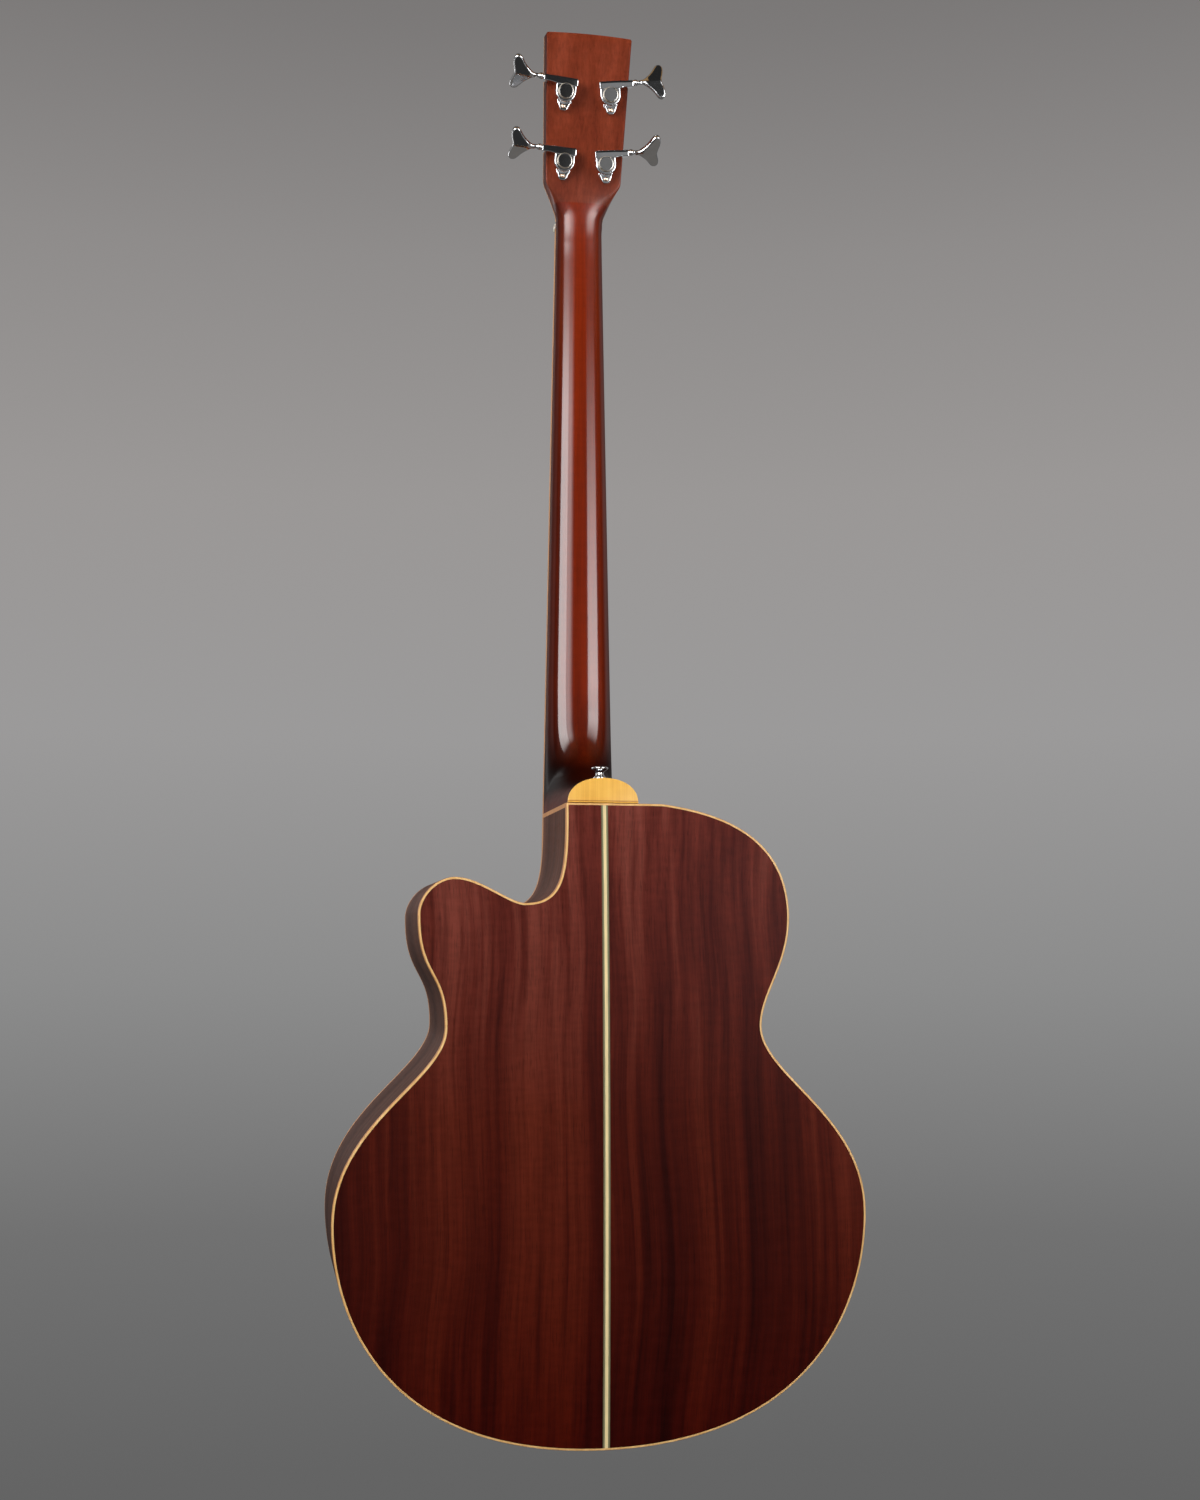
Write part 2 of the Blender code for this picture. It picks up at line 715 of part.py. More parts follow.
def make_soundboard():
    hole_z = BODY_Z + SOUNDHOLE_Z
    board = slab("soundboard", [outline(EDGE_WIDTH + GAP),
                                circle(SOUNDHOLE_RADIUS, 32, (0.0, hole_z))],
                 0.0, TOP_THICKNESS)
    frame = Matrix.Translation(metres(0.0, 0.0, hole_z)) @ FRONT_VIEW
    channel = [(ROSETTE_OUTER, 1.0), (ROSETTE_OUTER, -ROSETTE_DEPTH - GAP),
               (ROSETTE_INNER, -ROSETTE_DEPTH - GAP), (ROSETTE_INNER, 1.0)]
    cut(board, turned("rosette_channel", channel, frame, 32, True))
    finish(board, "spruce")
    ring = [(ROSETTE_OUTER - GAP, 0.0), (ROSETTE_OUTER - GAP, -ROSETTE_DEPTH),
            (ROSETTE_INNER + GAP, -ROSETTE_DEPTH), (ROSETTE_INNER + GAP, 0.0)]
    finish(turned("rosette", ring, frame, 32, True), "rosewood")


def domed_panel(name, low_x, high_x, thickness, seat, cells=True):
    """A plate that follows the back's dome between two lines along the body."""
    flat = flat_curve(name, [outline(EDGE_WIDTH + GAP)], 0.0)
    sheet = to_mesh(flat)
    bm = bmesh.new()
    bm.from_mesh(sheet.data)
    bpy.data.objects.remove(sheet, do_unlink=True)
    bmesh.ops.dissolve_limit(bm, angle_limit=0.01, verts=bm.verts, edges=bm.edges)

    def slice_at(place, normal, clear):
        bmesh.ops.bisect_plane(bm, geom=bm.verts[:] + bm.edges[:] + bm.faces[:],
                               plane_co=metres(*place), plane_no=normal, clear_outer=clear)

    slice_at((low_x, 0.0, 0.0), (-1.0, 0.0, 0.0), True)
    slice_at((high_x, 0.0, 0.0), (1.0, 0.0, 0.0), True)
    if cells:
        for i in range(-3, 4):
            slice_at((i * PANEL_CELL_X, 0.0, 0.0), (1.0, 0.0, 0.0), False)
    for i in range(1, int(-TAIL_Z / PANEL_CELL_Z) + 1):
        slice_at((0.0, BODY_Z - i * PANEL_CELL_Z, 0.0), (0.0, 1.0, 0.0), False)
    for vert in bm.verts:
        x, z = vert.co.x / MM, vert.co.y / MM
        vert.co = metres(x, seat(x, z), z)
    bmesh.ops.triangulate(bm, faces=bm.faces)
    panel = mesh_object(name, bm)
    if sum(face.normal.y * face.area for face in panel.data.polygons) < 0.0:
        panel.data.flip_normals()
    shell = panel.modifiers.new("thickness", "SOLIDIFY")
    shell.thickness = thickness * MM
    shell.offset = -1.0
    return panel


def make_back():
    half = CENTER_STRIP_WIDTH / 2.0
    far = 2.0 * LOWER_BOUT_HALF
    finish(domed_panel("back_panel_bass", -far, -half - GAP, BACK_THICKNESS, back_y),
           "mahogany_back")
    finish(domed_panel("back_panel_treble", half + GAP, far, BACK_THICKNESS, back_y),
           "mahogany_back")
    finish(domed_panel("back_center_strip", -half, half, BACK_THICKNESS, back_y, False),
           "maple")


def brace(name, start, end, width, height, seat, toward):
    """A brace with tapered ends and a narrow crest, on a plate's inner surface."""
    a, b = np.array(start, float), np.array(end, float)
    run = (b - a) / np.linalg.norm(b - a)
    across = np.array((-run[1], run[0])) * width / 2.0
    sections = []
    for share in BRACE_STATIONS:
        place = a + (b - a) * share
        rise = BRACE_END_HEIGHT + (height - BRACE_END_HEIGHT) * math.sin(math.pi * share) ** 0.6
        left, right = place - across, place + across
        seat_left, seat_right = seat(*left), seat(*right)
        crest_left = place - across * BRACE_CREST_SHARE
        crest_right = place + across * BRACE_CREST_SHARE
        shoulder = toward * rise * BRACE_SHOULDER_SHARE
        sections.append([
            (left[0], seat_left, left[1]),
            (left[0], seat_left + shoulder, left[1]),
            (crest_left[0], seat(*crest_left) + toward * rise, crest_left[1]),
            (crest_right[0], seat(*crest_right) + toward * rise, crest_right[1]),
            (right[0], seat_right + shoulder, right[1]),
            (right[0], seat_right, right[1]),
        ])
    return finish(loft(name, sections), "spruce")


def make_top_braces():
    cross_z = BODY_Z + X_BRACE_CROSSING_Z
    seat = top_seat(0.0, 0.0)
    lap = seat + X_BRACE_HEIGHT / 2.0
    half = X_BRACE_WIDTH / 2.0 + GAP
    legs = []
    for name, hand in (("x_brace_bass", 1.0), ("x_brace_treble", -1.0)):
        start = (-hand * X_BRACE_UPPER_REACH, cross_z + X_BRACE_UPPER_REACH)
        end = (hand * X_BRACE_LOWER_REACH, cross_z - X_BRACE_LOWER_REACH)
        legs.append(brace(name, start, end, X_BRACE_WIDTH, X_BRACE_HEIGHT, top_seat, 1.0))
    place = Matrix.Translation(metres(0.0, 0.0, cross_z))
    turn = place @ Matrix.Rotation(math.radians(45.0), 4, "Y")
    reach = X_BRACE_WIDTH * 2.0
    over = box("lap_over", (-half, lap - GAP / 2.0, -reach), (half, lap + reach, reach), turn)
    under = box("lap_under", (-reach, seat - 2.0, -half), (reach, lap + GAP / 2.0, half), turn)
    cut(legs[0], over)
    cut(legs[1], under)
    z = BODY_Z + TRANSVERSE_BRACE_Z
    width = TRANSVERSE_BRACE_WIDTH
    brace("transverse_brace", (brace_end(BASS_LINE, z, width), z),
          (brace_end(TREBLE_LINE, z, width), z), width, TRANSVERSE_BRACE_HEIGHT, top_seat, 1.0)
    front_z = SADDLE_Z + BRIDGE_FRONT + BRIDGE_PLATE_MARGIN
    rear_z = SADDLE_Z - BRIDGE_REAR - BRIDGE_PLATE_MARGIN
    room = rear_z - (BODY_Z + TAIL_Z - LINE_INSET + EDGE_WIDTH + END_BLOCK_DEPTH)
    for i, ends in enumerate(TONE_BRACES):
        start, end = ((x, rear_z - room * share) for x, share in ends)
        brace("tone_brace_%d" % (i + 1), start, end, TONE_BRACE_WIDTH, TONE_BRACE_HEIGHT,
              top_seat, 1.0)
    slope_half = X_BRACE_WIDTH / 2.0 * math.sqrt(2.0) + 1.0
    corners = [(cross_z - z - slope_half, z) for z in (front_z, rear_z)]
    loop = [corners[0], corners[1], (-corners[1][0], rear_z), (-corners[0][0], front_z)]
    plate = slab("bridge_plate", [loop], seat, seat + BRIDGE_PLATE_THICKNESS)
    finish(plate, "maple")


def make_back_braces():
    names = ("upper", "waist", "lower", "tail")
    half = SEAM_STRIP_WIDTH / 2.0
    for name, along, width, height in zip(names, BACK_BRACE_ZS, BACK_BRACE_WIDTHS,
                                          BACK_BRACE_HEIGHTS):
        z = BODY_Z + along
        bar = brace("back_brace_" + name, (brace_end(BASS_LINE, z, width), z),
                    (brace_end(TREBLE_LINE, z, width), z), width, height, back_seat, -1.0)
        notch_y = back_seat(0.0, z) - SEAM_STRIP_THICKNESS - GAP
        notch = box("seam_notch_" + name, (-half - GAP, notch_y, z - width),
                    (half + GAP, notch_y + 2.0 * SEAM_STRIP_THICKNESS + 2.0, z + width))
        cut(bar, notch)
    low = BODY_Z + TAIL_Z - LINE_INSET + EDGE_WIDTH + END_BLOCK_DEPTH + 2.0 * GAP
    high = BODY_Z - NECK_BLOCK_DEPTH - GAP
    stations = np.linspace(low, high, 9)
    sections = [[(x, back_seat(x, z) - lift, z) for x, lift in
                 ((-half, 0.0), (half, 0.0), (half * 0.8, SEAM_STRIP_THICKNESS),
                  (-half * 0.8, SEAM_STRIP_THICKNESS))] for z in stations]
    finish(loft("back_seam_strip", sections), "inside_wood")


# Neck, heel and headstock

def neck_half(z):
    """Half the width of the neck and its fretboard at a height."""
    return (NECK_WIDTH_AT_NUT - NECK_WIDENING * z) / 2.0


def neck_depth(z):
    share = min(1.0, max(0.0, z / BODY_Z))
    return NECK_DEPTH_AT_NUT + (NECK_DEPTH_AT_JOINT - NECK_DEPTH_AT_NUT) * share


def head_half(s):
    """Half the headstock's width at a distance up its plane."""
    if s >= HEAD_CORNER_S:
        share = (s - HEAD_CORNER_S) / (HEAD_LENGTH - HEAD_CORNER_S)
        return HEAD_CORNER_HALF + (HEAD_TOP_HALF - HEAD_CORNER_HALF) * share
    share = max(0.0, s - HEAD_FLARE_START) / (HEAD_CORNER_S - HEAD_FLARE_START)
    flare = HEAD_CORNER_HALF - HEAD_WAIST_HALF
    return HEAD_WAIST_HALF + flare * share ** HEAD_FLARE_BEND


HEAD_ORIGIN = np.array((0.0, 0.0, NUT_THICKNESS))
HEAD_UP = np.array((0.0, math.sin(HEAD_TILT), math.cos(HEAD_TILT)))
HEAD_BACK = np.array((0.0, math.cos(HEAD_TILT), -math.sin(HEAD_TILT)))


def head_point(x, s, n):
    """A place given across, up the headstock's face, and behind it."""
    return tuple(HEAD_ORIGIN + np.array((x, 0.0, 0.0)) + s * HEAD_UP + n * HEAD_BACK)


def head_frame(x, s, n):
    """A frame at such a place with its Z pointing out of the headstock's face."""
    place = Matrix.Translation(metres(*head_point(x, s, n)))
    return place @ Matrix.Rotation(math.radians(90.0) - HEAD_TILT, 4, "X")


def rounded_half(half, depth, power, count=12):
    """Across and deep: the back of a section, from its +X edge round to its -X edge."""
    points = []
    for i in range(count + 1):
        angle = math.pi * i / count
        c, s = math.cos(angle), max(0.0, math.sin(angle))
        points.append((half * math.copysign(abs(c) ** (2.0 / power), c),
                       depth * s ** (2.0 / power)))
    return points


def heel_section(depth, half, rise):
    """A D-shaped level of the heel: flat at the joint, round toward the headstock."""
    base = BODY_Z + JOINT_FLAT + GAP
    return [(HEEL_CENTER_X + x, depth, base + up)
            for x, up in rounded_half(half, rise, HEEL_ROUNDNESS, 14)]


def heel_rise(depth):
    ys = [y for y, rise in HEEL_PROFILE] + [RIM_DEPTH_NECK]
    rises = [rise for y, rise in HEEL_PROFILE] + [HEEL_CAP_RISE]
    return float(np.interp(depth, ys, rises))


def make_neck():
    base = BODY_Z + JOINT_FLAT + GAP
    sections = []
    for share in NECK_STATIONS:
        z = base * share
        ring = rounded_half(neck_half(z), neck_depth(z), NECK_ROUNDNESS)
        sections.append([(x, deep, z) for x, deep in ring])
    blend = [(HEAD_CORNER_S * share, power) for share, power in HEAD_BLEND]
    blend += [(HEAD_CORNER_S + HEAD_CORNER_ROUND, HEAD_ROUNDNESS), (HEAD_LENGTH - 1.5, HEAD_ROUNDNESS)]
    for s, power in blend:
        ring = rounded_half(head_half(s), HEAD_THICKNESS, power)
        sections.append([head_point(x, s, deep) for x, deep in ring])
    top = rounded_half(head_half(HEAD_LENGTH) - HEAD_EASE, HEAD_THICKNESS - HEAD_EASE, HEAD_ROUNDNESS)
    sections.append([head_point(x, HEAD_LENGTH - HEAD_CROWN * (x / HEAD_TOP_HALF) ** 2, deep)
                     for x, deep in top])
    neck = loft("neck", sections)

    levels = [(y, rise) for y, rise in HEEL_PROFILE]
    cap_seat = RIM_DEPTH_NECK - HEEL_CAP_THICKNESS - GAP
    levels.append((cap_seat, heel_rise(cap_seat)))
    heel = loft("heel_blank", [heel_section(y, HEEL_HALF_WIDTH, rise) for y, rise in levels])
    cut(neck, heel, "UNION")

    slot_half = TRUSS_SLOT_WIDTH / 2.0
    cut(neck, box("truss_slot", (-slot_half, -CUT_MARGIN, base - CUT_MARGIN),
                  (slot_half, TRUSS_SLOT_DEPTH, -TRUSS_ROD_START)))
    wide = HEAD_TOP_HALF + CUT_MARGIN
    cut(neck, box("veneer_seat", (-wide, VENEER_START - GAP, -VENEER_THICKNESS - GAP),
                  (wide, HEAD_LENGTH + CUT_MARGIN, CUT_MARGIN), head_frame(0.0, 0.0, 0.0)))
    for name, frame in POST_FRAMES.items():
        cut(neck, rod("post_hole_" + name, BUSHING_RADIUS + GAP, -HEAD_THICKNESS - 3.0, 3.0, frame))
    finish(smooth(neck, 30.0), "mahogany_neck")

    play = GAP
    truss = box("truss_rod", (-slot_half + play, play, base + 2.0),
                (slot_half - play, TRUSS_SLOT_DEPTH - play, -TRUSS_ROD_START - 2.0))
    finish(bevel(truss, 1.0), "steel")

    cap_loop = [(x, z) for x, y, z in heel_section(0.0, HEEL_HALF_WIDTH, HEEL_CAP_RISE)]
    cap = slab("heel_cap", [cap_loop], RIM_DEPTH_NECK - HEEL_CAP_THICKNESS, RIM_DEPTH_NECK)
    finish(cap, "maple")


def head_outline(inset):
    """The headstock's face as points (x, s), from its lower +X end over the top."""
    rises = [VENEER_START] + [HEAD_CORNER_S * share for share in HEAD_FACE_STATIONS]
    rises += [HEAD_CORNER_S + HEAD_CORNER_ROUND, HEAD_LENGTH - 3.0]
    side = [(head_half(s) - inset, s) for s in rises]
    top_half = head_half(HEAD_LENGTH) - inset - 1.0
    top = [(top_half * u, HEAD_LENGTH - inset - HEAD_CROWN * u * u) for u in (1.0, 0.5, 0.0)]
    half = side + top
    return half + [(-x, s) for x, s in half[-2::-1]]


def make_head_face():
    loop = head_outline(HEAD_BINDING + GAP)
    veneer = flat_curve("headstock_veneer", [loop], VENEER_THICKNESS)
    veneer.matrix_world = head_frame(0.0, 0.0, VENEER_THICKNESS / 2.0)
    veneer = to_mesh(veneer)
    for name, frame in POST_FRAMES.items():
        cut(veneer, rod("veneer_hole_" + name, BUSHING_RADIUS + GAP, -HEAD_THICKNESS, 3.0, frame))
    finish(veneer, "black_veneer")
    outer, inner = head_outline(0.0), head_outline(HEAD_BINDING)
    sections = [[head_point(xo, so, 0.0), head_point(xo, so, VENEER_THICKNESS),
                 head_point(xi, si, VENEER_THICKNESS), head_point(xi, si, 0.0)]
                for (xo, so), (xi, si) in zip(outer, inner)]
    finish(loft("headstock_binding", sections), "maple")


def crown(x):
    """How far the fretboard's arch falls away beside its middle."""
    return x * x / (2.0 * FRETBOARD_RADIUS)


def make_fretboard():
    top = FRETBOARD_THICKNESS + GAP
    profile = [(-GAP, 0.0), (-top, 0.0)]
    for number in range(1, FRET_COUNT + 1):
        z = fret_z(number)
        half = FRET_WIDTH / 2.0
        profile += [(-top, z + half), (-top - FRET_HEIGHT, z + half / 2.0),
                    (-top - FRET_HEIGHT, z - half / 2.0), (-top, z - half)]
    end = BOARD_END_Z + FRETBOARD_BINDING + GAP
    profile += [(-top, end), (-GAP, end)]
    edge = FRETBOARD_BINDING + GAP
    columns = (1.0, 0.4, -0.4, -1.0)
    sections = []
    for column in columns:
        sections.append([(column * (neck_half(z) - edge),
                          y + (crown(column * neck_half(z)) if y < -GAP else 0.0), z)
                         for y, z in profile])
    board = loft("fretboard", sections)
    finish(board, "rosewood")

    def edge_height(x, z):
        return -top + crown(neck_half(z))

    def board_seat(x, z):
        return -GAP

    outer = [(neck_half(0.0), 0.0), (neck_half(BOARD_END_Z), BOARD_END_Z)]
    inner = [(neck_half(0.0) - FRETBOARD_BINDING, 0.0),
             (neck_half(BOARD_END_Z) - FRETBOARD_BINDING, BOARD_END_Z + FRETBOARD_BINDING)]
    outer += [(-x, z) for x, z in outer[::-1]]
    inner += [(-x, z) for x, z in inner[::-1]]
    finish(loft("fretboard_binding", hoop_sections(outer, inner, edge_height, board_seat)), "maple")


def fretted_top():
    return -(FRETBOARD_THICKNESS + GAP + FRET_HEIGHT)


def string_bottom(name, z):
    """Depth of a string's underside between the nut and the saddle."""
    share = z / SADDLE_Z
    lift = ACTION_AT_NUT + (ACTION_AT_SADDLE - ACTION_AT_NUT) * share
    return fretted_top() - lift + crown(string_x(name, z))


def string_x(name, z):
    spacing = NUT_STRING_SPACING + (SADDLE_STRING_SPACING - NUT_STRING_SPACING) * z / SADDLE_Z
    return STRING_COLUMNS[name] * spacing


def make_nut():
    half = NUT_WIDTH / 2.0
    loop = [(-half, -GAP), (half, -GAP)]
    loop += [(half, string_bottom("G", 0.0) - NUT_LIP * 0.4)]
    for name in ("G", "D", "A", "E"):
        x = string_x(name, 0.0)
        slot = STRING_DIAMETERS[name] / 2.0 + GAP
        floor = string_bottom(name, 0.0) + GAP
        lip = floor - NUT_LIP
        loop += [(x + slot, lip), (x + slot, floor), (x - slot, floor), (x - slot, lip)]
    loop += [(-half, string_bottom("E", 0.0) - NUT_LIP * 0.4)]
    nut = flat_curve("nut", [loop], NUT_THICKNESS - 2.0 * GAP)
    nut.matrix_world = Matrix.Translation(metres(0.0, 0.0, NUT_THICKNESS / 2.0))
    finish(to_mesh(nut), "bone")


# Bridge

def make_bridge():
    front = SADDLE_Z + BRIDGE_FRONT
    rear = SADDLE_Z - BRIDGE_REAR
    ridge = rear + RIDGE_THICKNESS
    valley = SADDLE_Z - SADDLE_THICKNESS / 2.0 - 3.0

    def section(x, height, dip, pull):
        rim = height * BRIDGE_RIM_SHARE
        heights = ((front - pull, 0.0), (front - pull, rim), (front - pull - BRIDGE_BEVEL, height),
                   (valley, height), (valley - 2.5, dip), (ridge + 1.5, dip), (ridge, height),
                   (rear + pull + 2.5, height), (rear + pull, rim), (rear + pull, 0.0))
        return [(x, -GAP - up, z) for z, up in heights]

    centre = BRIDGE_CENTER_HALF
    plan = ((BRIDGE_HALF_LENGTH, BRIDGE_WING_HEIGHT * 0.8, BRIDGE_WING_PULL),
            (BRIDGE_HALF_LENGTH - BRIDGE_WING_PULL * 0.7, BRIDGE_WING_HEIGHT, BRIDGE_WING_PULL / 3.0),
            (centre + BRIDGE_WING_TAPER, BRIDGE_WING_HEIGHT * 1.1, 0.0))
    sections = [section(x, height, height, pull) for x, height, pull in plan]
    sections.append(section(centre, BRIDGE_HEIGHT, BRIDGE_HEIGHT - 0.4, 0.0))
    sections.append(section(centre - 3.0, BRIDGE_HEIGHT, VALLEY_HEIGHT, 0.0))
    mirrored = [[(-x, y, z) for x, y, z in ring] for ring in sections[::-1]]
    bridge = loft("bridge", sections + mirrored)

    half = SADDLE_THICKNESS / 2.0
    slot_floor = -GAP - BRIDGE_HEIGHT + SADDLE_SLOT_DEPTH
    length = SADDLE_LENGTH / 2.0
    cut(bridge, box("saddle_slot", (-length - GAP, -BRIDGE_HEIGHT * 2.0, SADDLE_Z - half - GAP),
                    (length + GAP, slot_floor, SADDLE_Z + half + GAP)))
    for name in STRING_COLUMNS:
        radius = STRING_DIAMETERS[name] / 2.0 + STRING_HOLE_PLAY
        frame = Matrix.Translation(metres(string_x(name, SADDLE_Z), -STRING_HOLE_HEIGHT, 0.0))
        cut(bridge, rod("string_hole_" + name, radius, rear - 3.0, ridge + 6.0, frame, 10))
    finish(bridge, "rosewood")

    def saddle_section(x):
        top = string_bottom("A", SADDLE_Z) + crown(x) - crown(string_x("A", SADDLE_Z)) + GAP
        foot = slot_floor - GAP
        edge = top + SADDLE_CROWN
        places = ((foot, -1.0), (edge, -1.0), (top, -0.4), (top, 0.4), (edge, 1.0), (foot, 1.0))
        return [(x, y, SADDLE_Z + half * share) for y, share in places]

    finish(loft("saddle", [saddle_section(length * u) for u in SADDLE_STATIONS]), "bone")


# Tuners

def tuner_hand(name):
    """Which way a tuner's key points: 1 toward +X, -1 toward -X."""
    return math.copysign(1.0, STRING_COLUMNS[name])


def post_place(name):
    """Across and up the headstock: outer strings go to the lower pair of posts."""
    hand = tuner_hand(name)
    if name in ("E", "G"):
        return hand * POST_X_LOWER, HEAD_LENGTH * POST_SHARE_LOWER
    return hand * POST_X_UPPER, HEAD_LENGTH * POST_SHARE_UPPER


POST_FRAMES = {name: head_frame(*post_place(name), 0.0) for name in STRING_COLUMNS}


def gear_loop():
    """A gear's outline: a root, a flank, a tip and a flank for each tooth."""
    loop = []
    step = 2.0 * math.pi / GEAR_TEETH
    for i in range(GEAR_TEETH):
        for radius, share in ((GEAR_ROOT, 0.0), (GEAR_ROOT, 0.3), (GEAR_RADIUS, 0.45),
                              (GEAR_RADIUS, 0.85)):
            angle = step * (i + share)
            loop.append((radius * math.cos(angle), radius * math.sin(angle)))
    return loop


def make_post(name):
    frame = POST_FRAMES[name]
    gear_middle = -HEAD_THICKNESS - GAP - WORM_AXIS_HEIGHT
    shaft_end = gear_middle + GEAR_THICKNESS / 2.0 + 1.0
    flange = WASHER_HEIGHT + 2.0 * GAP
    profile = [(0.0, POST_TOP), (POST_HEAD_RADIUS - 0.8, POST_TOP),
               (POST_HEAD_RADIUS, POST_TOP - 0.9),
               (POST_HEAD_RADIUS, POST_HEAD_BOTTOM), (POST_RADIUS, POST_HEAD_BOTTOM - 1.0),
               (POST_RADIUS, flange + 1.6), (POST_FLANGE_RADIUS, flange + 0.8),
               (POST_FLANGE_RADIUS, flange), (POST_RADIUS, flange), (POST_RADIUS, shaft_end),
               (0.0, shaft_end)]
    post = turned("tuner_%s_post" % name, profile, frame)
    gear = flat_curve("gear_blank_" + name, [gear_loop()], GEAR_THICKNESS + 2.0)
    gear.matrix_world = frame @ Matrix.Translation(metres(0.0, 0.0, gear_middle + 1.0))
    cut(post, to_mesh(gear), "UNION")
    half = POST_SLOT_WIDTH / 2.0
    slot = box("post_slot_" + name, (-POST_HEAD_RADIUS - 1.0, -half, POST_TOP - POST_SLOT_DEPTH),
               (POST_HEAD_RADIUS + 1.0, half, POST_TOP + 1.0), frame)
    cut(post, slot)
    finish(post, "chrome")


def make_bushing(name):
    top = GAP + WASHER_HEIGHT
    profile = [(BUSHING_BORE, top), (BUSHING_BORE + 1.4, top), (WASHER_RADIUS, GAP + 0.8),
               (WASHER_RADIUS, GAP), (BUSHING_RADIUS, GAP), (BUSHING_RADIUS, -BUSHING_LENGTH),
               (BUSHING_BORE, -BUSHING_LENGTH)]
    finish(turned("tuner_%s_bushing" % name, profile, POST_FRAMES[name], 12, True), "chrome")


def worm_frame(name):
    """Z runs along the worm shaft, out from the headstock; Y runs out of the back."""
    x, s = post_place(name)
    hand = tuner_hand(name)
    lean = math.radians(TUNER_LEANS[name])
    across, along = -hand * WORM_TO_POST * math.sin(lean), WORM_TO_POST * math.cos(lean)
    place = head_point(x + across, s + along, HEAD_THICKNESS + GAP + WORM_AXIS_HEIGHT)
    out = Vector((hand * math.cos(lean), 0.0, 0.0)) + Vector(HEAD_UP) * math.sin(lean)
    back = Vector(HEAD_BACK)
    side = back.cross(out)
    turn = Matrix((side, back, out)).transposed().to_4x4()
    return Matrix.Translation(metres(*place)) @ turn


def make_housing(name):
    x, s = post_place(name)
    hand = tuner_hand(name)
    lean = Matrix.Rotation(-hand * math.radians(TUNER_LEANS[name]), 4, "Z")
    frame = head_frame(x, s, HEAD_THICKNESS + GAP) @ Matrix.Rotation(math.pi, 4, "Y") @ lean
    drum = rod("tuner_%s_housing" % name, HOUSING_RADIUS, 0.0, HOUSING_HEIGHT, frame, 16)
    bevel(drum, 1.1, 1)
    low, high = sorted((-hand * BAR_INNER, -hand * BAR_OUTER))
    middle = WORM_TO_POST
    bar = box("bar_" + name, (low, middle - BAR_WIDTH / 2.0, 0.0),
              (high, middle + BAR_WIDTH / 2.0, BAR_HEIGHT), frame)
    bevel(bar, 1.2, 1)
    root, tip = TAB_ROOT_WIDTH / 2.0, TAB_TIP_WIDTH / 2.0
    loop = [(root, -3.0), (root, -8.0), (tip, -TAB_LENGTH + 1.2), (tip - 1.2, -TAB_LENGTH),
            (-tip + 1.2, -TAB_LENGTH), (-tip, -TAB_LENGTH + 1.2), (-root, -8.0), (-root, -3.0)]
    tab = flat_curve("tab_" + name, [loop], TAB_THICKNESS)
    tab.matrix_world = frame @ Matrix.Translation(metres(0.0, 0.0, TAB_THICKNESS / 2.0))
    cut(drum, bar, "UNION")
    cut(drum, to_mesh(tab), "UNION")
    cut(drum, rod("pocket_" + name, GEAR_RADIUS + 0.45, -2.0, HOUSING_HEIGHT - HOUSING_WALL, frame))
    bore = rod("worm_bore_" + name, WORM_RADIUS + 0.35, BAR_INNER + 1.6, BAR_OUTER + 3.0,
               worm_frame(name), 12)
    cut(drum, bore)
    finish(drum, "chrome")


def key_loop():
    """The key's outline: from its root, round the two lobes, with a notch outside."""
    tip = KEY_LENGTH
    span = KEY_HALF_SPAN
    lobe = KEY_LOBE_RADIUS
    upper = [(0.0, KEY_ROOT_HALF), (4.4, KEY_ROOT_HALF + 0.9), (8.8, span * 0.38),
             (12.6, span * 0.69), (tip - 2.0 * lobe + 0.4, span - 0.9), (tip - lobe, span),
             (tip - 0.9, span - 1.1), (tip, span - lobe), (tip - 0.6, span * 0.4)]
    return upper + [(tip - KEY_NOTCH, 0.0)] + [(a, -b) for a, b in upper[::-1]]


def make_key(name):
    frame = worm_frame(name) @ Matrix.Rotation(math.radians(KEY_TURNS[name]), 4, "Z")
    end = KEY_START + 4.0
    collar = BAR_OUTER + GAP
    profile = [(0.0, end), (SHAFT_RADIUS, end), (SHAFT_RADIUS, collar + 4.6), (3.3, collar + 4.4),
               (3.3, collar + 2.9), (2.7, collar + 2.6), (COLLAR_RADIUS, collar + 1.9),
               (COLLAR_RADIUS, collar), (SHAFT_RADIUS, collar), (SHAFT_RADIUS, WORM_LENGTH / 2.0),
               (WORM_RADIUS, WORM_LENGTH / 2.0 - 0.8), (WORM_RADIUS, -WORM_LENGTH / 2.0),
               (0.0, -WORM_LENGTH / 2.0)]
    shaft = turned("tuner_%s_key" % name, profile, frame, 12)
    blade = flat_curve("blade_" + name, [key_loop()], KEY_THICKNESS)
    stand = Matrix.Translation(metres(0.0, 0.0, KEY_START))
    stand = stand @ Matrix.Rotation(math.radians(-90.0), 4, "Y")
    blade.matrix_world = frame @ stand @ Matrix.Rotation(math.radians(90.0), 4, "X")
    blade = to_mesh(blade)
    bevel(blade, 1.5, 1, 50.0)
    cut(shaft, blade, "UNION")
    finish(shaft, "chrome")


# Strings

def winding_radius(name):
    return POST_RADIUS + GAP + 0.05 + STRING_DIAMETERS[name] / 2.0


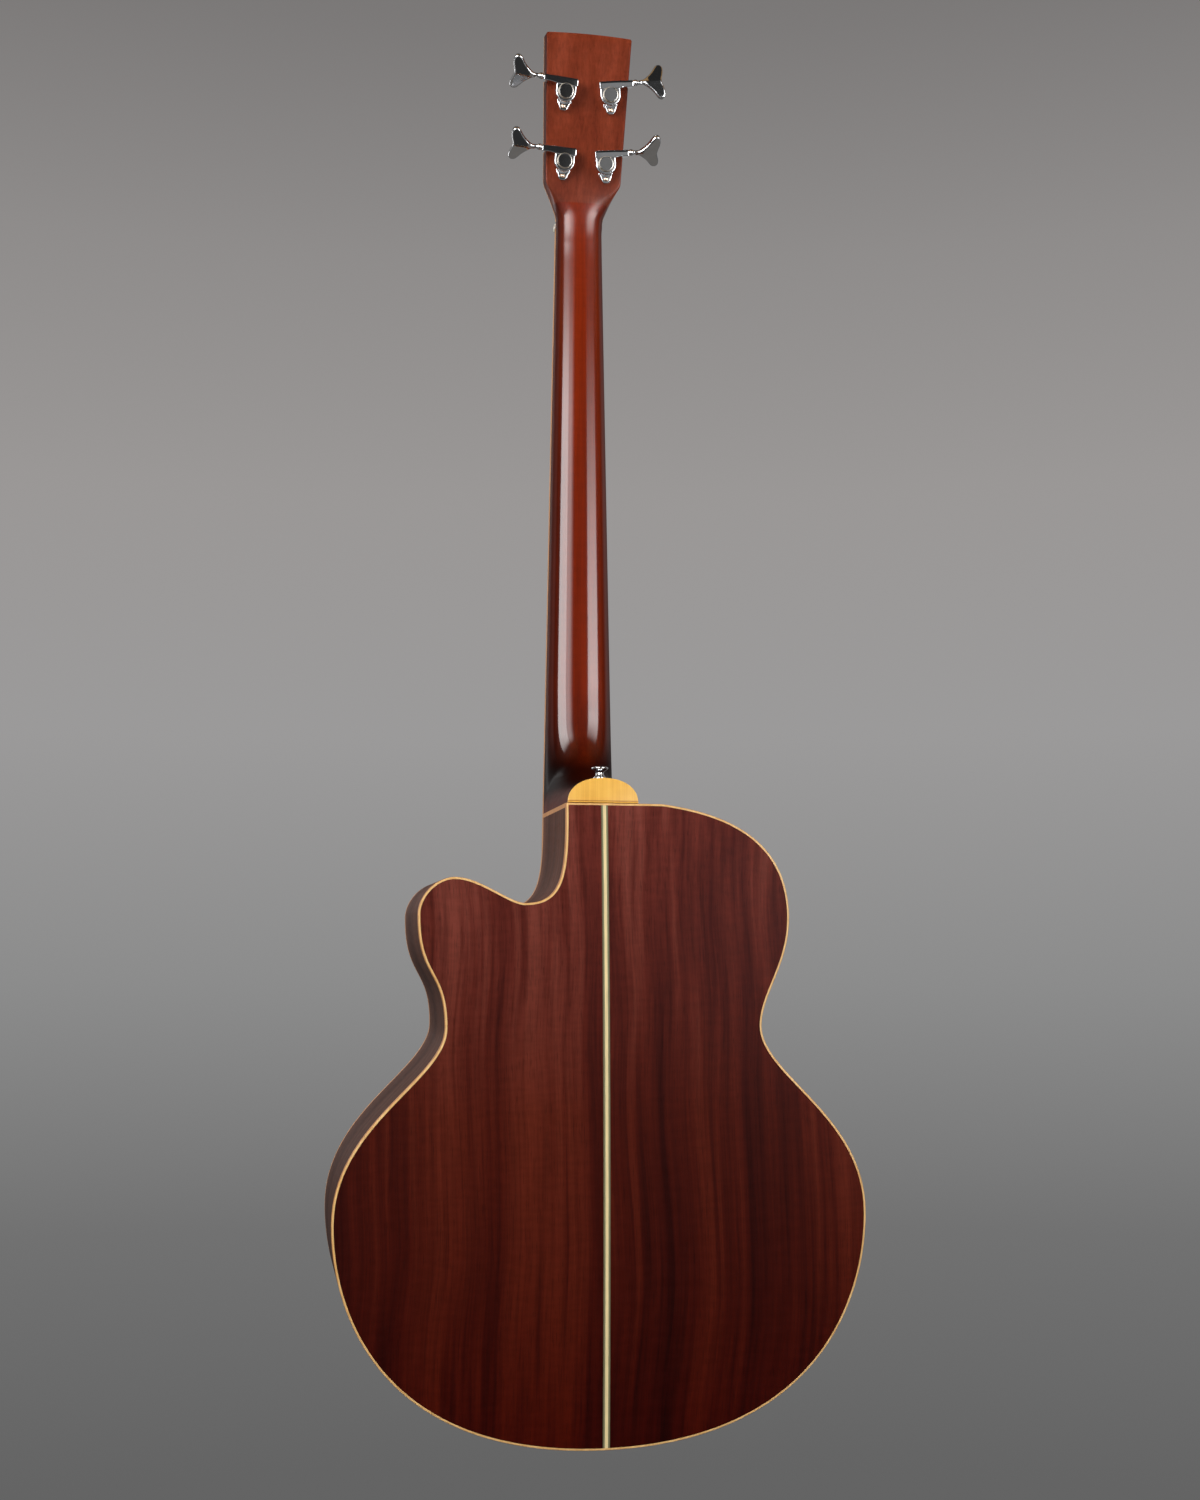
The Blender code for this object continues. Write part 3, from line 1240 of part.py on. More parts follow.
def winding_points(name):
    """The turns on the post, in the headstock's own coordinates (x, s, n)."""
    x, s = post_place(name)
    radius = winding_radius(name)
    hand = -math.copysign(1.0, x)
    aside = x - string_x(name, 0.0)
    lean = math.atan2(hand * aside, s) + math.asin(radius / math.hypot(aside, s))
    start_angle = math.atan2(0.0, hand) - hand * lean
    pitch = STRING_DIAMETERS[name] + WINDING_PITCH_GAP
    steps = int(24 * WINDING_TURNS)
    points = []
    for i in range(steps + 1):
        turns = i / 24.0
        angle = start_angle + hand * turns * 2.0 * math.pi
        points.append((x + radius * math.cos(angle), s + radius * math.sin(angle),
                       -WINDING_START - pitch * turns))
    return points


def string_route(name):
    """All points of a string, with the tube's radius at each."""
    radius = STRING_DIAMETERS[name] / 2.0
    rear = SADDLE_Z - BRIDGE_REAR
    x = string_x(name, SADDLE_Z)
    deep = -STRING_HOLE_HEIGHT
    crest = string_bottom(name, SADDLE_Z) - radius
    valley = rear + RIDGE_THICKNESS + 1.0
    route = [((x, deep, rear - GAP - BALL_END_LENGTH), BALL_END_RADIUS),
             ((x, deep, rear - GAP), BALL_END_RADIUS),
             ((x, deep, rear - GAP / 2.0), radius),
             ((x, deep, valley), radius),
             ((x, deep + (crest - deep) * 0.16, valley + (SADDLE_Z - valley) * 0.24), radius),
             ((x, crest + 1.1, SADDLE_Z - 2.6), radius),
             ((x, crest + 0.15, SADDLE_Z - 1.0), radius),
             ((x, crest, SADDLE_Z + 0.8), radius)]
    for z in (0.0, NUT_THICKNESS - GAP / 2.0):
        route.append(((string_x(name, z), string_bottom(name, min(z, 0.0)) - radius, z), radius))
    turns = [head_point(*place) for place in winding_points(name)]
    first = np.array(turns[0])
    last = np.array(route[-1][0])
    middle = last + (first - last) * 0.5
    route.append((tuple(middle), radius))
    route += [(place, radius) for place in turns]
    return route


def least_gap(name):
    """Least clear distance between neighbouring turns of a winding."""
    turns = np.array(winding_points(name))
    best = 1e9
    for i in range(len(turns)):
        for j in range(i + 12, len(turns)):
            best = min(best, float(np.linalg.norm(turns[i] - turns[j])))
    return best - STRING_DIAMETERS[name]


def make_string(name):
    curve = bpy.data.curves.new("string_" + name, "CURVE")
    curve.dimensions = "3D"
    curve.bevel_depth = MM
    curve.bevel_resolution = 1
    curve.use_fill_caps = True
    route = string_route(name)
    spline = curve.splines.new("POLY")
    spline.points.add(len(route) - 1)
    for point, (place, radius) in zip(spline.points, route):
        point.co = (*metres(*place), 1.0)
        point.radius = radius
    obj = bpy.data.objects.new("string_" + name, curve)
    PARTS.objects.link(obj)
    finish(smooth(to_mesh(obj), 60.0), "bronze")
    print("string", name, "least gap between turns %.2f mm" % least_gap(name))


# Strap buttons

def make_buttons():
    top = BUTTON_HEIGHT
    profile = [(0.0, top), (BUTTON_TOP_RADIUS - 1.0, top), (BUTTON_TOP_RADIUS, top - 1.0),
               (BUTTON_TOP_RADIUS - 0.3, top - 2.2), (BUTTON_WAIST_RADIUS + 0.6, top - 3.4),
               (BUTTON_WAIST_RADIUS, top - 5.0), (BUTTON_WAIST_RADIUS + 0.8, 2.6),
               (BUTTON_BASE_RADIUS, 1.2), (BUTTON_BASE_RADIUS, 0.0), (0.0, 0.0)]
    heel_z = BODY_Z + JOINT_FLAT + GAP + heel_rise(HEEL_BUTTON_Y) + GAP
    heel = Matrix.Translation(metres(HEEL_CENTER_X, HEEL_BUTTON_Y, heel_z))
    finish(turned("heel_strap_button", profile, heel, 16), "chrome")
    tail_z = BODY_Z + TAIL_Z - LINE_INSET - GAP
    tail = Matrix.Translation(metres(0.0, TAIL_BUTTON_Y, tail_z)) @ Matrix.Rotation(math.pi, 4, "X")
    finish(turned("tail_strap_button", profile, tail, 16), "chrome")


make_bindings()
make_sides()
make_linings()
make_blocks()
make_soundboard()
make_back()
make_top_braces()
make_back_braces()
make_neck()
make_head_face()
make_fretboard()
make_nut()
make_bridge()
for string in STRING_COLUMNS:
    make_housing(string)
    make_key(string)
    make_post(string)
    make_bushing(string)
    make_string(string)
make_buttons()
bpy.context.view_layer.update()
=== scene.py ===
from math import asin, atan2, copysign, cos, hypot, pi, radians, sin, sqrt

import bmesh
import bpy
import numpy as np
from mathutils import Matrix, Vector


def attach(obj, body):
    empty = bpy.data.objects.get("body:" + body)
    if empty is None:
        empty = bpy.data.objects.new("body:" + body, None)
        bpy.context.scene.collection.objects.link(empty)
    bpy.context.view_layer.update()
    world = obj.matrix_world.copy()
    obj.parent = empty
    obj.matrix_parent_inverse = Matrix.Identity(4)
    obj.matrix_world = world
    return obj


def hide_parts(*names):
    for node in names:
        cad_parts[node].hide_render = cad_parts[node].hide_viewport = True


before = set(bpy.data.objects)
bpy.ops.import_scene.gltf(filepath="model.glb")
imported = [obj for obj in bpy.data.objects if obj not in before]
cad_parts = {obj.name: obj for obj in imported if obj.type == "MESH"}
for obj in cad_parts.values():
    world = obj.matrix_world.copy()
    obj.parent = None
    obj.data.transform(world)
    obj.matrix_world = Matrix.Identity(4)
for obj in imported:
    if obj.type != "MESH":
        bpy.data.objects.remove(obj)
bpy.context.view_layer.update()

# Sizes in millimetres, the same as the part's own. +Z runs up the neck from the nut, the
# soundboard faces -Y, and the treble side with its cutaway is +X.
MM = 0.001
SCALE_LENGTH = 863.6
FRET_COUNT = 22
JOINT_FRET = 17
BRIDGE_FRONT = 9
BRIDGE_REAR = 26
STRING_HOLE = 5
SOUNDHOLE_RADIUS = 50
TAIL_Z = -506.5
JOINT_FLAT = 1.5
LINE_INSET = 1.2
CORNER_X = 30.4
RIM_AT_NECK = 126
RIM_GROWTH = 7
BACK_RADIUS = 5000
PLATE = 3
STRIP_HALF = 2.9
EDGE_WIDTH = 2.4
EDGE_SHOWN = 1.75
BINDING_HEIGHT = 6
SEAM = 0.06
HEEL_HALF = 29.3
HEEL_CENTER_X = 0.9
HEEL_FRONT_RISE = 92
HEEL_BACK = 122.6
NECK_ROUNDNESS = 2.3
NUT_THICKNESS = 5
HEAD_TILT = radians(14)
HEAD_THICKNESS = 17
HEAD_LENGTH = 164.6
VENEER = 2
FRETBOARD_TOP = -6.8
STRING_DIAMETERS = {"E": 2.67, "A": 2.16, "D": 1.65, "G": 1.14}
STRING_COLUMNS = {"E": -1.5, "A": -0.5, "D": 0.5, "G": 1.5}
POST_RADIUS = 4.75
LOW_S, HIGH_S = HEAD_LENGTH * 0.3125, HEAD_LENGTH * 0.6807
POSTS = {"E": (-19, LOW_S), "A": (-20.4, HIGH_S), "D": (20.4, HIGH_S), "G": (19, LOW_S)}
TUNER_LEANS = {"E": 6.5, "A": 7.5, "D": 4.5, "G": 2.5}
KEY_TURNS = {"E": 46, "A": -13, "D": -40, "G": -42}
WORM_TO_POST = 9.6
WORM_RISE = 23.1
QUARTER = pi / 2
SIDEWAYS = Matrix.Rotation(QUARTER, 4, "X")

# Camera, from the photograph's perspective
CAMERA_PLACE = (0.28147, 1.59024, -0.66476)
CAMERA_LOOK = (-0.18516, -0.97616, 0.1132)
CAMERA_LENS = 43.867


def fret_z(number):
    return -SCALE_LENGTH * (1 - 2 ** (-number / 12))


BODY_Z = fret_z(JOINT_FRET)
SADDLE_Z = -SCALE_LENGTH - 3
BOARD_END_Z = fret_z(FRET_COUNT) - 8
SOUNDHOLE_Z = BODY_Z - 165
HEEL_BASE = BODY_Z + JOINT_FLAT + 0.3


# Node trees

def rgba(colour):
    """A colour with its alpha; a single number stands for a grey."""
    return (*colour, 1) if isinstance(colour, tuple) else (colour, colour, colour, 1)


class Nodes:
    """A material's, a lamp's or the world's emptied node tree, with short calls that add to it."""

    def __init__(self, owner):
        owner.use_nodes = True
        self.owner = owner
        self.tree = owner.node_tree
        self.tree.nodes.clear()

    def add(self, kind, inputs, **settings):
        """Adds a node, with its settings and its inputs' values or links."""
        node = self.tree.nodes.new("ShaderNode" + kind)
        for key, value in settings.items():
            setattr(node, key, value)
        for key, value in inputs.items():
            socket = node.inputs[key]
            if isinstance(value, bpy.types.NodeSocket):
                self.tree.links.new(value, socket)
            else:
                socket.default_value = rgba(value) if socket.type == "RGBA" else value
        return node

    def ramp(self, factor, *stops, interpolation="LINEAR"):
        node = self.add("ValToRGB", {"Fac": factor})
        node.color_ramp.interpolation = interpolation
        elements = node.color_ramp.elements
        while len(elements) < len(stops):
            elements.new(0.5)
        for element, (place, colour) in zip(elements, stops):
            element.position = place
            element.color = rgba(colour)
        return node.outputs["Color"]

    def maths(self, operation, first, second=0.5, third=0, clamp=False):
        return self.add("Math", {0: first, 1: second, 2: third}, operation=operation,
                        use_clamp=clamp).outputs[0]

    def linear(self, value, slope, start, clamp=False):
        return self.maths("MULTIPLY_ADD", value, slope, start, clamp)

    def share(self, value, slope, start):
        """The same, kept between 0 and 1."""
        return self.linear(value, slope, start, True)

    def mix(self, factor, first, second, mode="MIX"):
        return self.add("Mix", {0: factor, 6: first, 7: second}, data_type="RGBA",
                        blend_type=mode).outputs[2]

    def tint(self, colour, by, amount=1):
        return self.mix(amount, colour, by, "MULTIPLY")

    def at(self, scale, place=(0, 0, 0), coords=None):
        """Object coordinates in metres, multiplied by a scale along each axis."""
        if coords is None:
            coords = self.add("TexCoord", {}).outputs["Object"]
        scale = scale if isinstance(scale, tuple) else (scale,) * 3
        return self.add("Mapping", {"Vector": coords, "Scale": scale,
                                    "Location": place}).outputs["Vector"]

    def noise(self, scale, detail=2, roughness=0.5, place=(0, 0, 0), coords=None):
        return self.add("TexNoise", {"Vector": self.at(scale, place, coords), "Scale": 1,
                                     "Detail": detail, "Roughness": roughness}).outputs["Fac"]

    def fibre(self, grain, across, lengthwise, detail=2, roughness=0.5, place=(0, 0, 0),
              coords=None):
        """Noise that is fine across the grain and long with it; a bent side's grain follows
        the rim."""
        if grain == "rim":
            scale = (lengthwise, across, lengthwise)
        else:
            scale = tuple(lengthwise if axis == grain else across for axis in "XYZ")
        return self.noise(scale, detail, roughness, place, coords)

    def split(self, vector):
        return self.add("SeparateXYZ", {"Vector": vector}).outputs

    def axis(self, name):
        return self.split(self.add("TexCoord", {}).outputs["Object"])[name]

    def facing(self, name):
        """How far a surface faces along an axis, either way."""
        return self.maths("ABSOLUTE", self.split(self.add("NewGeometry", {}).outputs["Normal"])[name])

    def bump(self, height, strength, distance):
        return self.add("Bump", {"Height": height, "Strength": strength,
                                 "Distance": distance}).outputs["Normal"]

    def surface(self, colour, roughness, normal, **more):
        """Ends a material with its surface, whose other inputs are named like coat_weight."""
        inputs = {"Base Color": colour, "Roughness": roughness, "Normal": normal}
        for key, value in more.items():
            inputs[key.replace("_", " ").title().replace("Ior", "IOR")] = value
        self.add("OutputMaterial", {"Surface": self.add("BsdfPrincipled", inputs).outputs[0]})
        return self.owner


def material(name):
    return Nodes(bpy.data.materials.new(name))


# Woods

def wandering(n, amount, place):
    """Object coordinates moved sideways a little, so that grain isn't dead straight."""
    coords = n.add("TexCoord", {}).outputs["Object"]
    swing = n.linear(n.noise((3, 3, 4.5), 1, 0.4, place), amount, -0.5 * amount)
    moved = n.add("CombineXYZ", {"X": swing, "Z": n.maths("MULTIPLY", swing, 0.4)})
    return n.add("VectorMath", {0: coords, 1: moved.outputs[0]}, operation="ADD").outputs[0]


def wood(name, dark, mid, light, grain="Z", ribbon=26, ribbon_long=0.9, roughness=0.38,
         coat=0, coat_roughness=0.25, pores=0.5, flecks=0.25, seed=0, contrast=1,
         zones=None, specular=0.5, sway=0, coat_zones=None, streaks=0):
    """Ribbon-striped wood: broad bands, fine lines, short pores and cross flecks."""
    n = material(name)
    place = (seed, seed * 1.7, seed * 0.6)
    base = wandering(n, sway, place) if sway else None

    def texture(across, lengthwise, detail, rough, coords=None):
        return n.fibre(grain, across, lengthwise, detail, rough, place, coords)

    bands = texture(ribbon, ribbon_long, 2, 0.5, base)
    thin = texture(ribbon * 4.3, ribbon_long * 2.2, 3, 0.6, base)
    lines = texture(620, 11, 2, 0.5, base)
    pore = texture(1500, 70, 1, 0.4)
    cross = texture(70, 230, 2, 0.5)
    both = n.linear(thin, 0.45 * contrast, n.maths("MULTIPLY", bands, 0.55))
    tone = n.maths("ADD", both, 0.225 * (1 - contrast))
    colour = n.ramp(tone, (0.36, dark), (0.5, mid), (0.63, light))
    colour = n.tint(colour, n.ramp(lines, (0.3, 0.78), (0.55, 1), (0.75, 1.12)), 0.8)
    if streaks:
        colour = n.tint(colour, n.ramp(thin, (0.35, 0.62), (0.47, 1), (0.7, 1.08)), streaks)
    colour = n.tint(colour, n.ramp(cross, (0.38, 0.82), (0.5, 1), (0.64, 1.16)), flecks)
    colour = n.tint(colour, n.ramp(pore, (0.6, 1), (0.7, 0.45)), pores)
    if zones is not None:
        colour = zones(n, colour)
    relief = n.linear(pore, -0.6, n.maths("MULTIPLY", lines, 0.4))
    if coat_zones is not None:
        coat, coat_roughness = coat_zones(n)
    return n.surface(colour, n.linear(cross, 0.12, roughness - 0.06), n.bump(relief, 0.12, 0.00012),
                     coat_weight=coat, coat_roughness=coat_roughness, specular_ior_level=specular)


def maple(name, pale, warm, grain="Z", lines=None):
    """Pale wood under an amber finish, with fine soft lines; lines adds a tone of its own."""
    n = material(name)
    broad = n.fibre(grain, 150, 6, 3, 0.6)
    fine = n.fibre(grain, 900, 14)
    curl = n.fibre(grain, 60, 160, 1, 0.4)
    colour = n.ramp(broad, (0.35, warm), (0.62, pale))
    colour = n.tint(colour, n.ramp(fine, (0.3, (0.9, 0.78, 0.66)), (0.6, 1.05)), 0.5)
    colour = n.tint(colour, n.ramp(curl, (0.4, (0.94, 0.86, 0.78)), (0.6, 1.06)), 0.25)
    if lines is not None:
        colour = lines(n, colour)
    return n.surface(colour, n.linear(fine, 0.1, 0.32), n.bump(fine, 0.08, 0.0001),
                     specular_ior_level=0.2)


def spruce(name, pale, dark, spacing=1.5, axis="X"):
    """Straight even growth lines across one axis, with faint cross silk."""
    n = material(name)
    wave = n.add("TexWave", {"Vector": n.at(1), "Scale": 1 / (spacing * MM) / 6.2832 * 2,
                             "Distortion": 1.2, "Detail": 2, "Detail Scale": 0.02},
                 wave_type="BANDS", bands_direction=axis).outputs["Fac"]
    broad = n.fibre("Z", 30, 1.5)
    silk = n.fibre("Z", 90, 420)
    colour = n.ramp(wave, (0, pale), (0.7, pale), (1, dark))
    colour = n.tint(colour, n.ramp(broad, (0.3, 0.86), (0.65, 1.06)), 0.6)
    colour = n.tint(colour, n.ramp(silk, (0.4, 0.92), (0.6, 1.06)), 0.3)
    return n.surface(colour, n.linear(silk, 0.08, 0.28), n.bump(wave, 0.05, 0.00008),
                     coat_weight=0.4, coat_roughness=0.15)


def kerfed(name):
    """Bare lining wood with saw kerfs across the strip, painted as dark bands of shade inside the cuts."""
    n = material(name)
    across = n.maths("GREATER_THAN", n.facing("X"), n.facing("Z"))
    run = n.mix(across, n.axis("X"), n.axis("Z"))
    phase = n.maths("FRACT", n.maths("MULTIPLY", run, 1 / (7 * MM)))
    # Painted shade: the kerfs' cuts as dark bands.
    kerf = n.ramp(phase, (0, 0.15), (0.14, 0.15), (0.2, 1), (0.95, 1), (1, 0.15))
    fibre = n.noise(300, 3, 0.6)
    colour = n.tint(n.ramp(fibre, (0.3, (0.36, 0.22, 0.12)), (0.7, (0.55, 0.37, 0.21))), kerf)
    return n.surface(colour, 0.75, n.bump(kerf, 0.4, 0.0004))


# Inlays, metal and bone

def strip_bands(name):
    """The back's centre strip: a pale middle between two greenish-grey lines."""
    n = material(name)
    side = n.maths("MULTIPLY", n.maths("ABSOLUTE", n.axis("X")), 1 / (STRIP_HALF * MM))
    fine = n.fibre("Z", 1100, 25)
    bands = n.ramp(side, (0, (0.92, 0.74, 0.38)), (0.4, (0.94, 0.76, 0.4)),
                   (0.46, (0.16, 0.13, 0.06)), (0.52, (0.3, 0.28, 0.15)),
                   (0.8, (0.2, 0.18, 0.09)), (1, (0.09, 0.07, 0.035)))
    colour = n.tint(bands, n.ramp(fine, (0.3, 0.75), (0.65, 1.1)), 0.5)
    return n.surface(colour, n.linear(fine, 0.1, 0.33), n.bump(fine, 0.06, 0.00008),
                     specular_ior_level=0.2)


def rosette_rings(name):
    """Rings round the soundhole: dark bands, pale lines and a mottled middle band."""
    n = material(name)
    x = n.axis("X")
    z = n.maths("ADD", n.axis("Z"), -SOUNDHOLE_Z * MM)
    radius = n.maths("SQRT", n.linear(z, z, n.maths("MULTIPLY", x, x)))
    share = n.share(radius, 1 / (8 * MM), -54 / 8)
    pale, black = (0.75, 0.6, 0.35), 0.012
    rings = n.ramp(share, (0, 0.01), (0.1, pale), (0.16, black), (0.3, pale),
                   (0.36, (0.05, 0.03, 0.02)), (0.64, pale), (0.7, black), (0.84, pale),
                   (0.9, 0.01), interpolation="CONSTANT")
    cells = n.add("TexVoronoi", {"Vector": n.at(700), "Scale": 1}).outputs["Distance"]
    colour = n.tint(rings, n.ramp(cells, (0.1, 0.7), (0.7, 1.2)), 0.35)
    return n.surface(colour, 0.25, n.bump(cells, 0.05, 0.00005), coat_weight=0.4, coat_roughness=0.12)


def metal(name, colour, roughness, scratches=0.05, grain=None):
    n = material(name)
    fine = n.fibre(grain, 2600, 40, 2, 0.6) if grain else n.noise(900, 2, 0.6)
    tone = n.ramp(n.noise(120), (0.3, tuple(0.93 * c for c in colour)), (0.7, colour))
    return n.surface(tone, n.linear(fine, scratches, roughness), n.bump(fine, 0.03, 0.00003),
                     metallic=1)


def ivory(name, colour):
    n = material(name)
    broad = n.noise((90, 260, 90), 3, 0.6)
    tone = n.ramp(broad, (0.3, tuple(0.86 * c for c in colour)), (0.7, colour))
    return n.surface(tone, n.linear(broad, 0.15, 0.3), n.bump(broad, 0.05, 0.0001),
                     subsurface_weight=0.1, coat_weight=0.2, coat_roughness=0.2)


# Tones that change along a piece

def cap_line(n, colour):
    """One fine dark line a little above the heel cap's straight edge."""
    share = n.maths("MULTIPLY", n.linear(n.axis("Z"), 1 / MM, -(BODY_Z + 1.8)), 0.1, clamp=True)
    dark = (0.5, 0.3, 0.16)
    line = n.ramp(share, (0, 1), (0.1, 1), (0.13, dark), (0.18, dark), (0.21, 1))
    return n.tint(colour, line, 0.8)


def edge_tone(n, colour):
    """A binding's faces that turn sideways from the plates, tinted a darker amber."""
    return n.mix(n.share(n.facing("Y"), 2.5, -1.2), n.tint(colour, (0.6, 0.42, 0.27)), colour)


def painted_light_fade(tail, middle, neck, place=0.5):
    """Painted light: a tint that changes from the tail, through a place on the way, to the neck."""
    def fade(n, colour):
        share = n.share(n.axis("Z"), 1 / 0.5, 1.04 / 0.5)
        return n.tint(colour, n.ramp(share, (0, tail), (place, middle), (1, neck)))
    return fade


def heel_share(n):
    """From 0 at the heel's joint to 1 a hand's width up the neck."""
    return n.share(n.axis("Z"), 1 / 0.12, 0.54 / 0.12)


def neck_coat(n):
    """Polished along the neck; thin and dull on its sides, on the heel and on the headstock.
    Returns the coat's weight and its roughness, which grows toward the headstock."""
    side = n.share(n.facing("X"), -6, 5.5)
    heel = n.share(heel_share(n), 5, -1.9)
    head = n.share(n.axis("Z"), -25, 1.2)
    both = n.maths("MULTIPLY", n.maths("MULTIPLY", side, heel), head)
    near_head = n.share(n.axis("Z"), 1 / 0.11, 1)
    return n.linear(both, 0.97, 0.03), n.linear(near_head, 0.13, 0.085)


def neck_zones(n, colour):
    """The headstock's lighter, browner finish above a soft line. Below it the neck darkens round its sides
    and almost to black on the heel, partly stain and partly painted shade; a painted greyish sheen lies on
    the heel's low sides, and painted shade darkens the headstock's side walls."""
    rise = n.share(n.axis("Z"), 0.8 / MM, -17.6 * 0.8 + 0.5)
    away = n.facing("X")
    # Painted shade, partly stain: the neck darker the more its surface faces sideways.
    rim = n.ramp(away, (0.1, 1), (0.45, 0.72), (0.75, 0.4), (0.97, 0.22))
    # Toward the heel: darker, partly stain and partly painted shade.
    heel = n.ramp(heel_share(n), (0, 0.07), (0.32, 0.09), (0.6, 0.62), (0.95, 1))
    stain_and_shade = n.tint(n.tint(colour, rim), heel)
    # Painted sheen: a greyish brown on the heel's low sides.
    low = n.maths("MULTIPLY", n.share(heel_share(n), -7, 1.25), n.share(away, 4, -2.2))
    stain_and_shade = n.mix(low, stain_and_shade, n.tint(colour, (0.345, 0.66, 9)))
    brown = n.tint(colour, (0.91, 1.9, 21.5))
    # Painted shade: the headstock's side walls darker.
    brown = n.mix(n.share(away, 8, -6.4), brown, n.tint(brown, (0.28, 0.26, 0.3)))
    return n.mix(rise, stain_and_shade, brown)


# Painted light on the back: painted shade toward the tail and a pale painted sheen toward the neck.
BACK = {"ribbon": 31, "roughness": 0.4, "contrast": 0.85, "flecks": 0.35, "specular": 0.045,
        "sway": 0.03, "streaks": 0.4,
        "zones": painted_light_fade((0.62, 0.3, 0.1), (1.08, 1.3, 1.3), (2.1, 4.4, 7.6))}
BACK_TONES = ((0.032, 0.0018, 0.0007), (0.065, 0.005, 0.0018), (0.108, 0.0122, 0.0048))
# Painted light on the sides: painted shade toward the tail and lighter toward the neck.
SIDE_PAINTED_LIGHT = painted_light_fade((0.62, 0.56, 0.56), 1, (1.25, 1.15, 1.05), 0.6)
ROSEWOOD = {"ribbon": 90, "ribbon_long": 2.5, "roughness": 0.42, "pores": 0.7}
ROSEWOOD_TONES = ((0.012, 0.006, 0.0045), (0.032, 0.015, 0.01), (0.07, 0.033, 0.02))

MATERIALS = {
    "back_bass": wood("back_mahogany_bass", *BACK_TONES, seed=0, **BACK),
    "back_treble": wood("back_mahogany_treble", *BACK_TONES, seed=7.4, **BACK),
    "side": wood("side_mahogany", (0.046, 0.0165, 0.0105), (0.073, 0.029, 0.019),
                 (0.102, 0.043, 0.028), "rim", ribbon=40, ribbon_long=2, roughness=0.5,
                 flecks=0.15, specular=0.03, zones=SIDE_PAINTED_LIGHT),
    "neck": wood("neck_mahogany", (0.165, 0.0118, 0.0004), (0.235, 0.0187, 0.0006),
                 (0.3, 0.0268, 0.001), ribbon=60, ribbon_long=1.5, roughness=0.4, pores=0.3,
                 flecks=0.2, contrast=0.5, zones=neck_zones, specular=0.03, coat_zones=neck_coat),
    "inside_wood": wood("bare_mahogany", (0.2, 0.11, 0.06), (0.32, 0.19, 0.105),
                        (0.42, 0.26, 0.15), roughness=0.7),
    "rosewood": wood("rosewood", *ROSEWOOD_TONES, **ROSEWOOD),
    "rosewood_across": wood("rosewood_across", *ROSEWOOD_TONES, "X", **ROSEWOOD),
    "veneer": wood("black_veneer", (0.006, 0.005, 0.0045), (0.012, 0.01, 0.009),
                   (0.022, 0.018, 0.015), ribbon=120, roughness=0.28, coat=0.6,
                   coat_roughness=0.12, pores=0.4),
    "binding": maple("binding_maple", (0.92, 0.58, 0.24), (0.8, 0.46, 0.165), "Z", edge_tone),
    "cap": maple("heel_cap_maple", (0.98, 0.56, 0.1), (0.93, 0.5, 0.08), "Z", cap_line),
    "plate": maple("plate_maple", (0.66, 0.45, 0.24), (0.52, 0.33, 0.17), "X"),
    "strip": strip_bands("center_strip"),
    "spruce": spruce("top_spruce", (0.72, 0.5, 0.25), (0.5, 0.3, 0.12)),
    "brace": spruce("brace_spruce", (0.68, 0.5, 0.3), (0.5, 0.34, 0.18), 1.8, "Y"),
    "rosette": rosette_rings("rosette_rings"),
    "kerf": kerfed("kerfed_lining"),
    "bone": ivory("nut_bone", (0.8, 0.76, 0.64)),
    "pearl": ivory("dot_pearl", (0.78, 0.78, 0.74)),
    "chrome": metal("chrome_plate", (0.78, 0.79, 0.81), 0.05),
    "chrome_dark": metal("cover_plate", (0.6, 0.6, 0.6), 0.04, 0.04),
    "satin": metal("satin_ring", (0.4, 0.35, 0.28), 0.36, 0.1),
    "steel": metal("rod_steel", (0.42, 0.42, 0.43), 0.3, 0.2, "Z"),
    "nickel": metal("fret_nickel", (0.66, 0.64, 0.6), 0.14, 0.08),
    "bronze": metal("string_bronze", (0.72, 0.44, 0.24), 0.22, 0.1),
    "brass": metal("gear_brass", (0.72, 0.5, 0.2), 0.25, 0.1),
    "screw": metal("screw_nickel", (0.78, 0.55, 0.4), 0.18, 0.1),
}

# The first name that a CAD node's own name contains gives its material
LOOKS = {
    "back_panel_bass": "back_bass", "back_panel_treble": "back_treble", "center_strip": "strip",
    "corner_strip": "binding", "seam_strip": "inside_wood", "binding": "binding",
    "side": "side", "lining": "kerf", "brace": "brace", "block": "inside_wood",
    "bridge_plate": "plate", "bridge": "rosewood", "fretboard": "rosewood", "heel_cap": "cap",
    "veneer": "veneer", "neck": "neck", "soundboard": "spruce", "rosette": "rosette",
    "saddle": "bone", "nut": "bone", "truss_rod": "steel", "button": "chrome",
    "tuner": "chrome", "string": "bronze",
}

for node_name, node_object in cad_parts.items():
    look = next(look for part, look in LOOKS.items() if part in node_name)
    node_object.data.materials.clear()
    node_object.data.materials.append(MATERIALS[look])


# Shapes

def linked(name, data):
    """A new object in the scene."""
    obj = bpy.data.objects.new(name, data)
    bpy.context.scene.collection.objects.link(obj)
    return obj


def mesh_of(bm, name):
    mesh = bpy.data.meshes.new(name)
    bm.to_mesh(mesh)
    bm.free()
    return mesh


def shift(x, y, z):
    return Matrix.Translation(Vector((x, y, z)) * MM)


def piece(name, bm, look, node=None, body="instrument", angle=35, at=None):
    """Makes a smooth-shaded object in metres, with its material and body, and hides the CAD node that it
    replaces.
    """
    bmesh.ops.recalc_face_normals(bm, faces=bm.faces)
    mesh = mesh_of(bm, name)
    if at is not None:
        mesh.transform(at)
    mesh.shade_smooth()
    mesh.set_sharp_from_angle(angle=radians(angle))
    mesh.materials.append(MATERIALS[look])
    obj = linked(name, mesh)
    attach(obj, body)
    if node is not None:
        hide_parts(node)
    return obj


